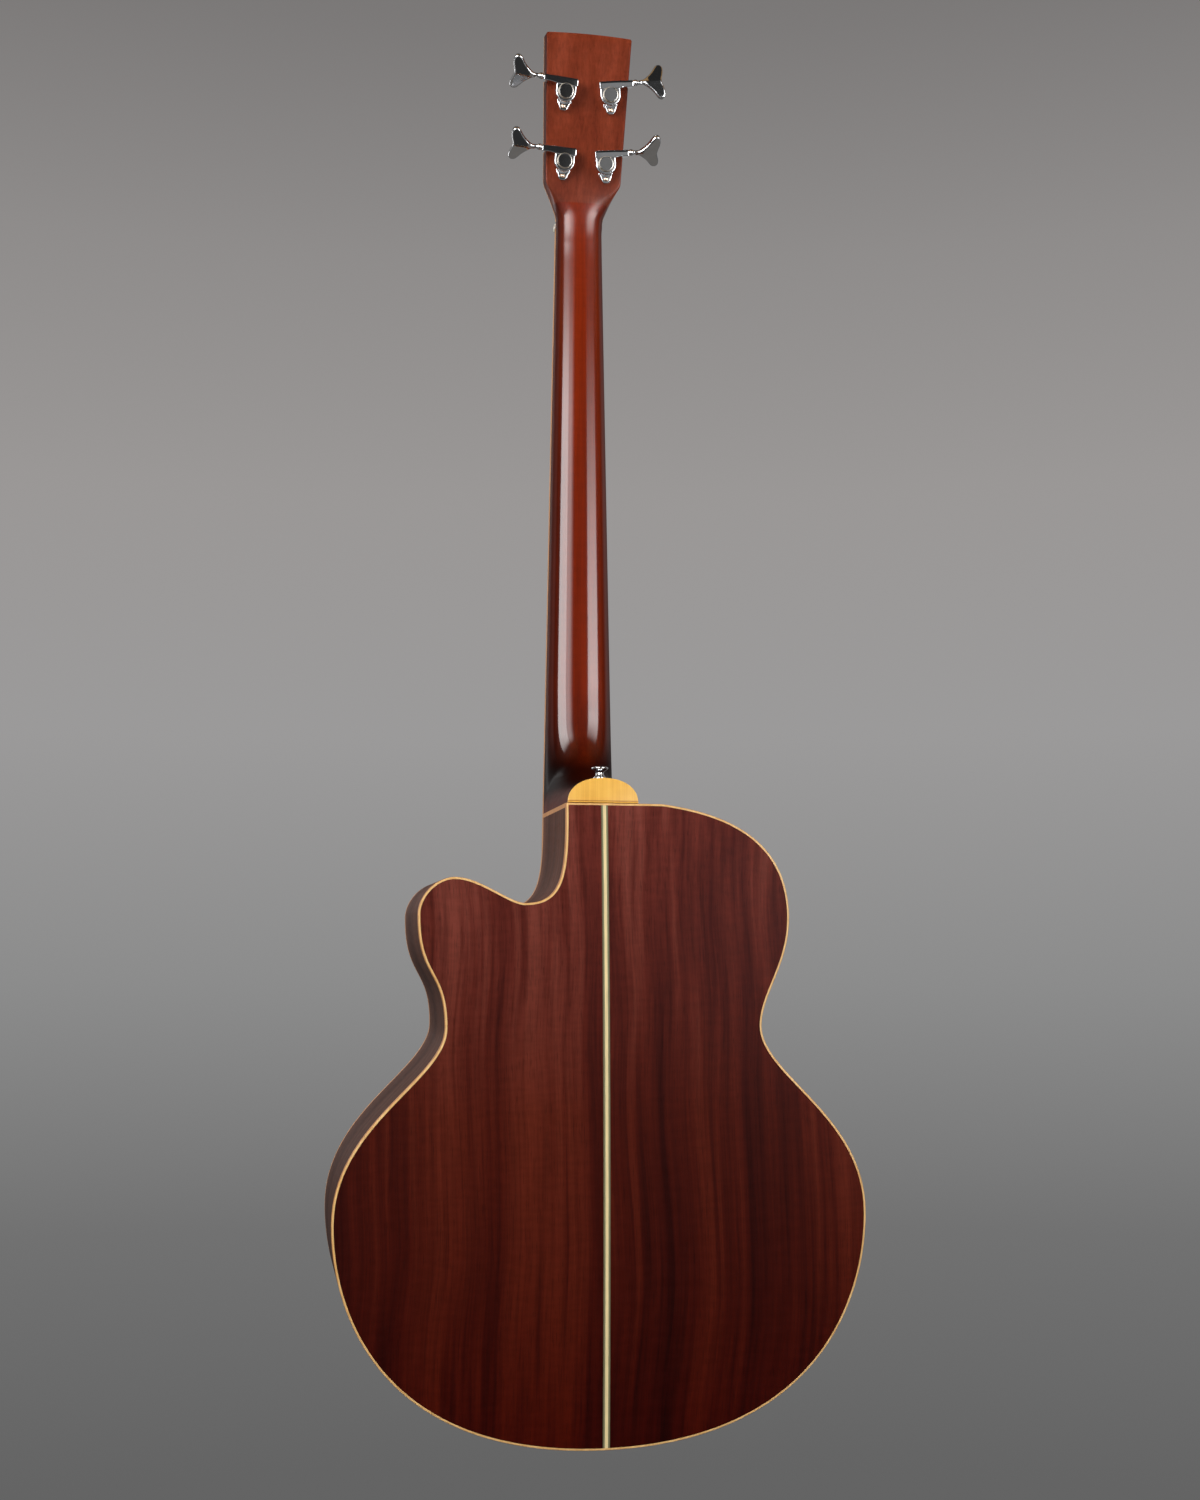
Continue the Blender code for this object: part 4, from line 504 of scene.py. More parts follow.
def skin(rows, wrap_rows=False, bm=None):
    """Skins rows of points, in millimetres, each with the same count; its ends are closed,
    or joined to each other where wrap_rows says so."""
    bm = bm or bmesh.new()
    made = [[bm.verts.new(Vector(point) * MM) for point in row] for row in rows]
    count = len(made[0])
    for i in range(len(made) if wrap_rows else len(made) - 1):
        low, high = made[i], made[(i + 1) % len(made)]
        for j in range(count):
            k = (j + 1) % count
            bm.faces.new((low[j], low[k], high[k], high[j]))
    if not wrap_rows:
        bm.faces.new(made[0])
        bm.faces.new(made[-1][::-1])
    return bm


def arc(x, y, radius, start, end, steps):
    """Points of an arc round a center, its ends given as angles."""
    return [(x + radius * cos(a), y + radius * sin(a)) for a in np.linspace(start, end, steps)]


def circle(radius, steps):
    return arc(0, 0, radius, 0, 2 * pi, steps + 1)[:-1]


def turned(profile, steps=48):
    """Turns a profile of (radius, height) in millimetres about Z, closed at radius 0."""
    bm = bmesh.new()
    rings = []
    for radius, height in profile:
        places = circle(radius, steps) if radius else [(0, 0)]
        rings.append([bm.verts.new(Vector((x, y, height)) * MM) for x, y in places])
    for low, high in zip(rings[:-1], rings[1:]):
        a, b = len(low), len(high)
        for i in range(steps):
            k = (i + 1) % steps
            corners = (low[i % a], high[i % b], high[k % b], low[k % a])
            bm.faces.new(tuple(dict.fromkeys(corners)))
    return bm


def smooth_line(points, steps):
    """A curve through points, with the same number of steps between each two."""
    pts = np.array(points, float)
    padded = np.vstack((2 * pts[0] - pts[1], pts, 2 * pts[-1] - pts[-2]))
    out = []
    for i in range(1, len(padded) - 2):
        p0, p1, p2, p3 = padded[i - 1:i + 3]
        for t in np.linspace(0, 1, steps + 1)[:-1]:
            out.append(0.5 * (2 * p1 + (p2 - p0) * t + (2 * p0 - 5 * p1 + 4 * p2 - p3) * t ** 2
                              + (3 * p1 - p0 - 3 * p2 + p3) * t ** 3))
    out.append(pts[-1])
    return np.array(out)


def tube(points, radius, sides=14, bm=None):
    """A round tube along points, in millimetres, closed at both ends."""
    pts = np.array(points, float)
    tangents = np.gradient(pts, axis=0)
    tangents /= np.linalg.norm(tangents, axis=1)[:, None]
    side = np.cross(tangents[0], (0.3, 1, 0.2))
    rows = []
    for point, tangent in zip(pts, tangents):
        side = side - tangent * (side @ tangent)
        side /= np.linalg.norm(side)
        other = np.cross(tangent, side)
        rows.append([point + x * side + y * other for x, y in circle(radius, sides)])
    return skin(rows, bm=bm)


def swept_plate(loop, heights, insets, bm=None):
    """A plate with an eased edge: the loop inset by steps at rising heights."""
    pts = np.array(loop, float)
    ahead, behind = np.roll(pts, -1, axis=0), np.roll(pts, 1, axis=0)
    run = ahead - behind
    run /= np.linalg.norm(run, axis=1)[:, None]
    inward = np.column_stack((-run[:, 1], run[:, 0]))
    if np.sum(pts[:, 0] * ahead[:, 1] - ahead[:, 0] * pts[:, 1]) < 0:
        inward = -inward
    return skin([[(x, y, height) for x, y in pts + inward * inset]
                 for height, inset in zip(heights, insets)], bm=bm)


def bisect(bm, place, normal, clear=False):
    bmesh.ops.bisect_plane(bm, geom=bm.verts[:] + bm.edges[:] + bm.faces[:],
                           plane_co=[c * MM for c in place], plane_no=normal, clear_outer=clear)


def merge(target, source, matrix=None):
    """Adds one bmesh's shape to another."""
    if matrix is not None:
        bmesh.ops.transform(source, matrix=matrix, verts=source.verts)
    mesh = mesh_of(source, "passing")
    target.from_mesh(mesh)
    bpy.data.meshes.remove(mesh)


def ease(value):
    """A smooth step from 0 to 1."""
    value = min(1, max(0, value))
    return value * value * (3 - 2 * value)


def head_point(x, s, n):
    """A place given across, up the headstock's face, and behind it."""
    return (x, s * sin(HEAD_TILT) + n * cos(HEAD_TILT),
            NUT_THICKNESS + s * cos(HEAD_TILT) - n * sin(HEAD_TILT))


def head_frame(x, s, n):
    """A frame there with its Z out of the headstock's face and Y up it."""
    return shift(*head_point(x, s, n)) @ Matrix.Rotation(QUARTER - HEAD_TILT, 4, "X")


# Body

def stretch(start, lead_out, lead_in, end, steps):
    """Points of one stretch of the body's line, and its outward normals."""
    t = np.linspace(0, 1, steps + 1)[:-1, None]
    a, b, c, d = (np.array(p, float) for p in (start, lead_out, lead_in, end))
    points = (1 - t) ** 3 * a + 3 * (1 - t) ** 2 * t * b + 3 * (1 - t) * t ** 2 * c + t ** 3 * d
    slopes = (1 - t) ** 2 * (b - a) + 2 * (1 - t) * t * (c - b) + t ** 2 * (d - c)
    slopes /= np.linalg.norm(slopes, axis=1)[:, None]
    return points, np.column_stack((slopes[:, 1], -slopes[:, 0]))


def side_line(treble):
    """A side's line from the tail's middle up to the neck, with its outward normals."""
    lower, waist, horn = (215, -329), (128.3, -179.7), (150.4, -89.8)
    tip, hollow, upper = (121.8, -61), (65.5, -81.6), (153.9, -89.4)
    parts = [stretch((0, TAIL_Z), (180, TAIL_Z), (215, -391.3), lower, 56),
             stretch(lower, (215, -252.7), (128.3, -220), waist, 34)]
    if treble:
        parts += [stretch(waist, (128.3, -132.6), (150.4, -140.9), horn, 22),
                  stretch(horn, (150.4, -75.8), (137.1, -61), tip, 20),
                  stretch(tip, (102.5, -61), (78.6, -81.6), hollow, 20),
                  stretch(hollow, (32.3, -81.6), (CORNER_X, -53.8), (CORNER_X, 0), 30)]
    else:
        parts += [stretch(waist, (128.3, -153.7), (153.9, -129.3), upper, 20),
                  stretch(upper, (153.9, -21.7), (94.4, 2.9), (0, 2.9), 44)]
    flip = np.array((1 if treble else -1, 1))
    return [np.vstack(rows) * flip for rows in zip(*parts)]


SIDE_LINES = {True: side_line(True), False: side_line(False)}


def rail(treble, inset):
    """One side's line, the given distance inside the outer edge."""
    points, normals = SIDE_LINES[treble]
    points = points + (LINE_INSET - inset) * normals
    points[:, 1] = np.minimum(points[:, 1], JOINT_FLAT - inset)
    return [tuple(p) for p in points + np.array((0, BODY_Z))]


def corner_point(inset):
    """The neck corner of the cutaway, the given distance inside the outer edge."""
    return (CORNER_X + LINE_INSET - inset, BODY_Z + JOINT_FLAT - inset)


def outline(inset):
    return rail(True, inset) + [corner_point(inset)] + rail(False, inset)[:0:-1]


def back_y(x, z):
    """Depth of the back's outer surface: a tapered rim under a shallow dome."""
    run = z - BODY_Z
    middle = TAIL_Z / 2
    rim = RIM_AT_NECK + RIM_GROWTH * run / TAIL_Z
    return rim + (middle ** 2 - x ** 2 - (run - middle) ** 2) / (2 * BACK_RADIUS)


def make_bindings():
    """Bindings with an eased outer edge, scraped flush with the plates."""
    soft = 0.8
    profile = [(EDGE_SHOWN, 0), *arc(soft, soft, soft, 3 * QUARTER, pi, 5),
               (0, BINDING_HEIGHT), (EDGE_WIDTH, BINDING_HEIGHT), (EDGE_WIDTH, 3.2), (EDGE_SHOWN, 3.2)]
    for face in ("top", "back"):
        rows = [[(x, deep if face == "top" else back_y(x, z) - deep, z) for x, z in outline(inset)]
                for inset, deep in profile]
        piece(face + "_edge_binding", skin(rows, True), "binding", face + "_binding")


def make_sides():
    strip_low = BODY_Z + JOINT_FLAT - 3.5
    front = BINDING_HEIGHT + SEAM
    for name, treble in (("side_treble", True), ("side_bass", False)):
        loops = []
        for inset in (0, EDGE_WIDTH):
            points = rail(treble, inset)
            points[0] = (SEAM if treble else -SEAM, points[0][1])
            if treble:
                points.append((corner_point(inset)[0], strip_low - SEAM))
            else:
                points.append((corner_point(EDGE_WIDTH + SEAM)[0], corner_point(inset)[1]))
            loops.append(points)
        rows = []
        for (xo, zo), (xi, zi) in zip(*loops):
            deep = back_y(xo, zo) - 2 * front
            rows.append([(xo, front + deep * u, zo) for u in (0, 0.25, 0.5, 0.75, 1)]
                        + [(xi, back_y(xi, zi) - front, zi), (xi, front, zi)])
        piece("bent_" + name, skin(rows), "side", name)


def make_back():
    """The two domed panels, fine enough for the dome to shade smoothly, and their strip."""
    cell = 15
    for side, hand in (("treble", 1), ("bass", -1)):
        bm = bmesh.new()
        bm.faces.new([bm.verts.new((x * MM, z * MM, 0)) for x, z in outline(EDGE_SHOWN + SEAM)])
        bm.normal_update()
        bisect(bm, (hand * (STRIP_HALF + SEAM), 0, 0), (-hand, 0, 0), True)
        for i in range(1, 15):
            bisect(bm, (hand * i * cell, 0, 0), (1, 0, 0))
        for i in range(34):
            bisect(bm, (0, BODY_Z - i * cell, 0), (0, 1, 0))
        for vert in bm.verts:
            x, z = vert.co.x / MM, vert.co.y / MM
            vert.co = Vector((x, back_y(x, z), z)) * MM
        made = bmesh.ops.extrude_face_region(bm, geom=bm.faces[:])
        for vert in made["geom"]:
            if isinstance(vert, bmesh.types.BMVert):
                vert.co.y -= PLATE * MM
        piece("back_plate_" + side, bm, "back_" + side, "back_panel_" + side, angle=45)
    inset = EDGE_SHOWN + SEAM
    corners = ((-STRIP_HALF, 0), (0, 0), (STRIP_HALF, 0), (STRIP_HALF, PLATE), (-STRIP_HALF, PLATE))
    rows = [[(x, back_y(x, z) - lift, z) for x, lift in corners]
            for z in np.linspace(BODY_Z + JOINT_FLAT - inset, BODY_Z + TAIL_Z - LINE_INSET + inset, 60)]
    piece("back_inlay_strip", skin(rows), "strip", "back_center_strip")


def make_top():
    """The soundboard with its soundhole, as one ring of strips, and the inlaid rings."""
    outer = outline(EDGE_SHOWN + SEAM)
    angles = [atan2(z - SOUNDHOLE_Z, x) for x, z in outer]
    hole = [(SOUNDHOLE_RADIUS * cos(a), SOUNDHOLE_Z + SOUNDHOLE_RADIUS * sin(a)) for a in angles]
    rows = []
    for share, depth in ((0, 0), (0.5, 0), (0.996, 0), (0.9995, 0.25), (1, 0.8),
                         (1, PLATE), (0.5, PLATE), (0, PLATE)):
        rows.append([(xo + (xi - xo) * share, depth, zo + (zi - zo) * share)
                     for (xo, zo), (xi, zi) in zip(outer, hole)])
    piece("soundboard_plate", skin(rows, True), "spruce", "soundboard")
    ring = turned([(62, 0), (61.9, 0.12), (54.1, 0.12), (54, 0), (54, -1.4), (62, -1.4), (62, 0)], 144)
    piece("rosette_inlay", ring, "rosette", "rosette",
          at=shift(0, 0, SOUNDHOLE_Z) @ SIDEWAYS)


# Neck

def neck_half(z):
    return (42 - 0.0359 * z) / 2


def neck_depth(z):
    return 15.6 + 5.9 * min(1, max(0, z / BODY_Z))


def head_half(s):
    """Half the headstock's width, with its corners a little eased."""
    total = 0
    for place in (s - 2.4, s - 1.2, s, s + 1.2, s + 2.4):
        if place >= 33.5:
            total += 34.5 + 4.5 * (place - 33.5) / (HEAD_LENGTH - 33.5)
        else:
            total += 21.4 + 13.1 * (max(0, place - 3.5) / 30) ** 1.12
    return total / 5


def head_side(s, n):
    return head_point(0, s, n)[1:]


# Half of a neck section: (which side of the square, the share along it, the share of a turn)
RING = [("wall", u, 0.2 * u) for u in np.linspace(0, 1, 6)[:-1]]
RING += [("corner", u, 0.2 + 0.1 * u) for u in np.linspace(0, 1, 7)[:-1]]
RING += [("back", u, 0.3 + 0.2 * u) for u in np.linspace(0, 1, 12)]


def neck_ring(front, back, half, blend=0, center=0, power=NECK_ROUNDNESS, edge=1):
    """One section of the neck: round where blend is 0, square-edged where it is 1."""
    front, back = np.array(front, float), np.array(back, float)
    deep = float(np.linalg.norm(back - front))
    side = []
    for kind, share, turn in RING:
        angle = pi * turn
        x = half * abs(cos(angle)) ** (2 / power)
        n = deep * sin(angle) ** (2 / power)
        if kind == "wall":
            square = (half, (deep - edge) * share)
        elif kind == "corner":
            swing = share * QUARTER
            square = (half - edge + edge * cos(swing), deep - edge + edge * sin(swing))
        else:
            square = ((half - edge) * (1 - share), deep)
        side.append((x + (square[0] - x) * blend, n + (square[1] - n) * blend))
    axis = (back - front) / deep
    return [(center + x, front[0] + axis[0] * n, front[1] + axis[1] * n)
            for x, n in side + [(-x, n) for x, n in side[-2::-1]]]


def heel_rings():
    """Sections from the heel's cap, fanned round its hollow, up to the neck's underside."""
    rings = []
    curve = smooth_line([(21.3, 92), (22, 76), (24.6, 61), (29.5, 48.5), (37.5, 39),
                         (49, 31.5), (65, 26.2), (85, 22.8), (105, 21.1), (HEEL_BACK, 20.7)], 5)
    for i in range(len(curve) - 1, -1, -1):
        t = i / (len(curve) - 1)
        deep, rise = curve[i]
        if t < 0.36:
            front = (0, HEEL_BASE + HEEL_FRONT_RISE * (1 - ease(t / 0.36)))
        else:
            front = (HEEL_BACK * ((t - 0.36) / 0.64) ** 1.25, HEEL_BASE)
        joined = ease((t - 0.3) / 0.4)
        half = neck_half(max(front[1], HEEL_BASE)) * (1 - joined) + HEEL_HALF * joined
        rings.append(neck_ring(front, (deep, HEEL_BASE + rise), half, center=HEEL_CENTER_X * joined))
    return rings


def head_rings():
    """Sections from the neck's end, through the bend behind the nut, up the headstock."""
    rings = []
    bend_back = smooth_line([(neck_depth(-34), -34), (neck_depth(-22), -22), (16.3, -6.5),
                             head_side(10, HEAD_THICKNESS), head_side(20, HEAD_THICKNESS)], 5)
    bend_front = smooth_line([(0, -34), (0, -22), (0, -8), head_side(10, 0), head_side(20, 0)], 5)
    for front, back in zip(bend_front[6:-5], bend_back[6:-5]):
        z = front[1]
        s = max(0, (z - NUT_THICKNESS) / cos(HEAD_TILT))
        half = neck_half(z) if z < 0 else head_half(s)
        rings.append(neck_ring((max(0, front[0]), z), back, half, ease((s - 1) / 36),
                               power=2.4, edge=1.4))
    for s in (*np.linspace(11, 40, 22), *np.linspace(46, HEAD_LENGTH - 1.2, 14)):
        rings.append(neck_ring(head_side(s, 0), head_side(s, HEAD_THICKNESS), head_half(s),
                               ease((s - 1) / 36), power=2.4, edge=1.2))
    rings.append(neck_ring(head_side(HEAD_LENGTH, 0), head_side(HEAD_LENGTH, HEAD_THICKNESS - 0.8),
                           head_half(HEAD_LENGTH) - 0.8, 1, power=2.4, edge=1.2))
    return rings


def make_neck():
    """The whole neck, cut back for the veneer and crowned at the headstock's end."""
    rings = heel_rings()
    for z in np.linspace(HEEL_BASE + HEEL_FRONT_RISE + 12, -22, 34):
        rings.append(neck_ring((0, z), (neck_depth(z), z), neck_half(z)))
    face = VENEER + 0.05
    up = np.array((sin(HEAD_TILT), cos(HEAD_TILT)))
    out = np.array((cos(HEAD_TILT), -sin(HEAD_TILT)))
    nut = np.array((0, NUT_THICKNESS))
    rows = []
    for ring in rings + head_rings():
        row = []
        for x, y, z in ring:
            s, n = float((y, z) @ up - nut @ up), float((y, z) @ out - nut @ out)
            if s > 0.9 and n < face:
                y, z = nut + s * up + face * out
            if s > HEAD_LENGTH - 1.3:
                fall = 1.2 * (x / 39) ** 2
                y, z = y - fall * up[0], z - fall * up[1]
            row.append((x, y, z))
        rows.append(row)
    piece("carved_neck", skin(rows), "neck", "neck", angle=50)


def make_heel_cap():
    power = 2 / 2.2
    loop = []
    for angle in np.linspace(0, pi, 41):
        c, s = cos(angle), max(0, sin(angle))
        loop.append((HEEL_CENTER_X + HEEL_HALF * copysign(abs(c) ** power, c), 20.6 * s ** power))
    swap = Matrix(((1, 0, 0, 0), (0, 0, 1, 0), (0, 1, 0, 0), (0, 0, 0, 1)))
    piece("heel_cap_plate", swept_plate(loop, (0, 2.6, 2.9, 3), (0, 0, 0.12, 0.4)), "cap",
          "heel_cap", angle=30, at=shift(0, 123, HEEL_BASE) @ swap)


# Fretboard and bridge

def crown(x):
    """How far the fretboard's round face falls off at a distance from its middle."""
    return x * x / 800


def make_dots(name, look, profile, steps, spread, place):
    """A dot at each marked fret, two at the octave, at places given by offset and height."""
    bm = bmesh.new()
    for number in (3, 5, 7, 9, 12, 15, 17, 19, 21):
        middle = (fret_z(number) + fret_z(number - 1)) / 2
        for offset in ((-spread, spread) if number == 12 else (0,)):
            merge(bm, turned(profile, steps), place(offset, middle))
    piece(name, bm, look)


def make_fretboard():
    rows = []
    for z in np.linspace(0, BOARD_END_Z + 1.85, 40):
        half = neck_half(z) - 1.85
        rows.append([(half * u, FRETBOARD_TOP + crown(half * u), z) for u in np.linspace(1, -1, 17)]
                    + [(-half, -0.35, z), (half, -0.35, z)])
    piece("fretboard_plate", skin(rows), "rosewood", "fretboard")
    bm = bmesh.new()
    for number in range(1, FRET_COUNT + 1):
        z = fret_z(number)
        half = neck_half(z) - 0.5
        rows = []
        for u in np.linspace(-1, 1, 15):
            x = half * u
            base = FRETBOARD_TOP + 0.05 + crown(x)
            rise = 1.1 - 0.9 * max(0, (abs(u) - 0.93) / 0.07) ** 2
            rows.append([(x, base, z + 1.2)] + [(x, base - rise * sin(a), z + 1.2 * cos(a))
                                                for a in np.linspace(0, pi, 9)[1:-1]]
                        + [(x, base, z - 1.2)])
        skin(rows, bm=bm)
    piece("fret_wires", bm, "nickel", angle=50)
    make_dots("position_dots", "pearl",
              [(0, 0.06), (2.9, 0.06), (3, 0.03), (3, -0.6), (0, -0.6)], 28, 9.5,
              lambda x, z: shift(x, FRETBOARD_TOP + 0.02 + crown(x), z) @ SIDEWAYS)
    make_dots("side_dots", "veneer",
              [(0, 0.05), (1, 0.05), (1.05, 0), (1.05, -0.5), (0, -0.5)], 16, 4,
              lambda up, z: shift(-neck_half(z + up), -3.4, z + up) @ Matrix.Rotation(-QUARTER, 4, "Y"))


def make_bridge():
    """Sections from end to end: low wings, a crowned middle, and a valley behind the saddle."""
    front, rear = SADDLE_Z + BRIDGE_FRONT, SADDLE_Z - BRIDGE_REAR
    half = [*np.linspace(82, 70, 9), *np.linspace(66, 46, 8), *np.linspace(45.4, 41, 6)]
    rows = []
    for x in [-x for x in half] + list(np.linspace(-36, 36, 10)) + half[::-1]:
        end = max(0, (abs(x) - 70) / 12)
        height = (4.2 + 4.8 * ease((66 - abs(x)) / 19)) * (1 - 0.25 * end ** 3)
        pull = 7 * (1 - sqrt(max(0, 1 - end ** 2)))
        dip = height - (height - 2.8) * ease((45.4 - abs(x)) / 3.4)
        f, r = front - pull, rear + pull
        soft = min(2.4, height * 0.5)
        low = height - soft
        line = [(f, 0), (f, low), *arc(f - soft, low, soft, 0.2, 1.4, 4), (f - soft, height),
                (SADDLE_Z - 4, height), (SADDLE_Z - 5, height - 0.3), (SADDLE_Z - 7, dip + 0.3),
                (SADDLE_Z - 8.5, dip), (rear + 12, dip), (rear + 10.8, dip + 0.5),
                (rear + 10.2, height - 0.5), (rear + 9.6, height), (r + soft, height),
                *arc(r + soft, low, soft, QUARTER + 0.2, QUARTER + 1.4, 4), (r, low), (r, 0)]
        rows.append([(x, -0.05 - up, max(r + 0.01, min(f, z)) if 0 < i < len(line) - 1 else z)
                     for i, (z, up) in enumerate(line)])
    piece("bridge_block", skin(rows), "rosewood_across", "bridge", angle=40)


# Strings

def string_x(name, z):
    return STRING_COLUMNS[name] * (10.6 + 8.4 * z / SADDLE_Z)


def string_bottom(name, z):
    return -7.9 - (0.5 + 4.7 * z / SADDLE_Z) + crown(string_x(name, z))


def winding(name, radius):
    """The turns on the post, 48 points to a turn, from where the string runs onto it."""
    px, ps = POSTS[name]
    wind = POST_RADIUS + 0.35 + radius
    hand = -copysign(1, px)
    aside = px - string_x(name, 0)
    lean = atan2(hand * aside, ps) + asin(wind / hypot(aside, ps))
    start = atan2(0, hand) - hand * lean
    pitch = STRING_DIAMETERS[name] + 0.55
    return [head_point(px + wind * cos(start + hand * turn * 2 * pi),
                       ps + wind * sin(start + hand * turn * 2 * pi), -5.2 - pitch * turn)
            for turn in (i / 48 for i in range(145))]


def make_string(name):
    """From the ball end through the bridge, over saddle and nut, to the turns on the post."""
    radius = STRING_DIAMETERS[name] / 2
    rear = SADDLE_Z - BRIDGE_REAR
    x = string_x(name, SADDLE_Z)
    crest = string_bottom(name, SADDLE_Z) - radius
    valley = rear + 11
    path = list(smooth_line([
        (x, -STRING_HOLE, rear + 2), (x, -STRING_HOLE, valley),
        (x, -STRING_HOLE + (crest + STRING_HOLE) * 0.16, valley + (SADDLE_Z - valley) * 0.24),
        (x, crest + 1.1, SADDLE_Z - 2.6), (x, crest + 0.1, SADDLE_Z - 0.9), (x, crest, SADDLE_Z + 0.8)], 5))
    for z in (*np.linspace(SADDLE_Z + 12, -3, 24), 0):
        path.append((string_x(name, z), string_bottom(name, z) - radius, z))
    nut_end = (string_x(name, 4.8), string_bottom(name, 0) - radius, 4.8)
    turns = winding(name, radius)
    first, last = np.array(turns[0]), np.array(nut_end)
    path += [nut_end] + [last + (first - last) * share for share in np.linspace(0.06, 0.94, 8)] + turns
    piece("wound_string_" + name, tube(path, radius), "bronze", "string_" + name, angle=60)
    ball = turned([(0, 5), (2.3, 5), (2.8, 4.6), (2.4, 3.4), (2.1, 2.5), (2.4, 1.6),
                   (2.8, 0.4), (2.3, 0), (0, 0)], 24)
    piece("ball_end_" + name, ball, "brass", angle=50,
          at=shift(x, -STRING_HOLE, rear - 5.3))


# Tuners

def worm_frame(name):
    """Z runs along the worm shaft, out from the headstock; Y runs out of the back."""
    x, s = POSTS[name]
    hand = copysign(1, x)
    lean = radians(TUNER_LEANS[name])
    up = Vector((0, sin(HEAD_TILT), cos(HEAD_TILT)))
    back = Vector((0, cos(HEAD_TILT), -sin(HEAD_TILT)))
    out = Vector((hand * cos(lean), 0, 0)) + up * sin(lean)
    place = head_point(x - hand * WORM_TO_POST * sin(lean), s + WORM_TO_POST * cos(lean), WORM_RISE)
    return shift(*place) @ Matrix((back.cross(out), back, out)).transposed().to_4x4()


def tuner_bar(hand, bm):
    """The bar over the worm: rounder along its upper edge, and narrower toward the key."""
    rows = []
    for x, inset, share in ((-9.6, 0.3, 0), (-9.52, 0.08, 0), (-9.3, 0, 0), (-9, 0, 0),
                            (9.4, 0, 0), (11.4, 0, 0.5), (13.4, 0, 1), (20.5, 0, 1.15),
                            (20.8, 0, 1.15), (21.02, 0.08, 1.15), (21.1, 0.3, 1.15)):
        y0 = WORM_TO_POST - 4.4 + 0.9 * share + inset
        y1, z1 = WORM_TO_POST + 2.7 - 0.2 * share - inset, 9.2 - 0.2 * share - inset
        line = [(y0, 0), (y1, 0), (y1, z1 - 2.6), *arc(y1 - 2.3, z1 - 2.3, 2.3, 0, QUARTER, 8),
                (y1 - 2.5, z1), (y0 + 0.75, z1), *arc(y0 + 0.5, z1 - 0.5, 0.5, QUARTER, pi, 4),
                (y0, z1 - 0.75)]
        rows.append([(-hand * x, y, z) for y, z in line])
    skin(rows, bm=bm)


def make_housing(name):
    """Back view: a bar over the worm, a bevelled shield round the gear's cover, a tab."""
    px, ps = POSTS[name]
    hand = copysign(1, px)
    lean = Matrix.Rotation(-hand * radians(TUNER_LEANS[name]), 4, "Z")
    at = head_frame(px, ps, HEAD_THICKNESS + 0.05) @ Matrix.Rotation(pi, 4, "Y") @ lean
    half = 9.4
    shield = [(-half, half), (-half, 6), (-half, 3), *arc(0, 0, half, pi, 2 * pi, 49),
              (half, 3), (half, 6), (half, half)]
    shoulder = np.linspace(0, QUARTER, 7)
    bm = swept_plate(shield, [0, 6.3, *(6.5 + 1.2 * np.sin(shoulder)), 7.7, 7.7],
                     [0, 0, *(1.2 - 1.2 * np.cos(shoulder)), 1.4, 2.9])
    tuner_bar(hand, bm)
    root, tip = 6.4, 2.6
    tab = [(root, -7), (root, -8.4), (tip + 0.3, -15.2), (tip - 0.6, -15.9)]
    tab += [(-x, y) for x, y in tab[::-1]]
    swept_plate(tab, (0, 1.8, 2.05, 2.15, 2.2, 2.2), (0, 0, 0.06, 0.16, 0.34, 0.7), bm)
    for side in (1, -1):
        tube(smooth_line([(side * (root - 0.9), -8.2, 2.2), (side * (root - 1.5), -9.2, 3.3),
                          (side * (tip + 1), -13.6, 2.9), (side * (tip - 0.1), -15, 2)], 5),
             0.6, 10, bm)
    prefix = f"tuner_{name}_"
    piece(prefix + "case", bm, "chrome", prefix + "housing", angle=38, at=at)
    bm = turned([(6.2, 7), (6.2, 8.85), (6.12, 8.97), (6, 9), (5.8, 9), (0, 9)], 64)
    piece(prefix + "cover", bm, "chrome_dark", angle=30, at=at)
    bm = turned([(6.95, 7), (6.95, 8.7), (6.85, 9.1), (6.6, 9.3), (6.35, 9.25), (6.22, 9.05),
                 (6.22, 7), (6.95, 7)], 64)
    piece(prefix + "ring", bm, "satin", angle=50, at=at)
    bm = turned([(0, 3.3), (0.9, 3.2), (1.7, 2.9), (2, 2.4), (2, 1.6), (0, 1.6)], 24)
    piece(prefix + "screw", bm, "screw", angle=40, at=at @ shift(0, -12.2, 0))


def key_loop():
    """The key's outline, smooth: two lobes with a shallow notch between."""
    upper = [tuple(p) for p in smooth_line(
        [(0, 1.6), (3, 2.2), (5.4, 3.7), (8.6, 6.3), (11.4, 9.3), (13.8, 12.6), (16, 15),
         (18.6, 15.8), (20.8, 15), (22.2, 12.6), (22.2, 9.2), (21.5, 6), (20.4, 2.6), (19.9, 0)], 4)]
    return upper + [(a, -b) for a, b in upper[-2:0:-1]] + [(0, -1.6)]


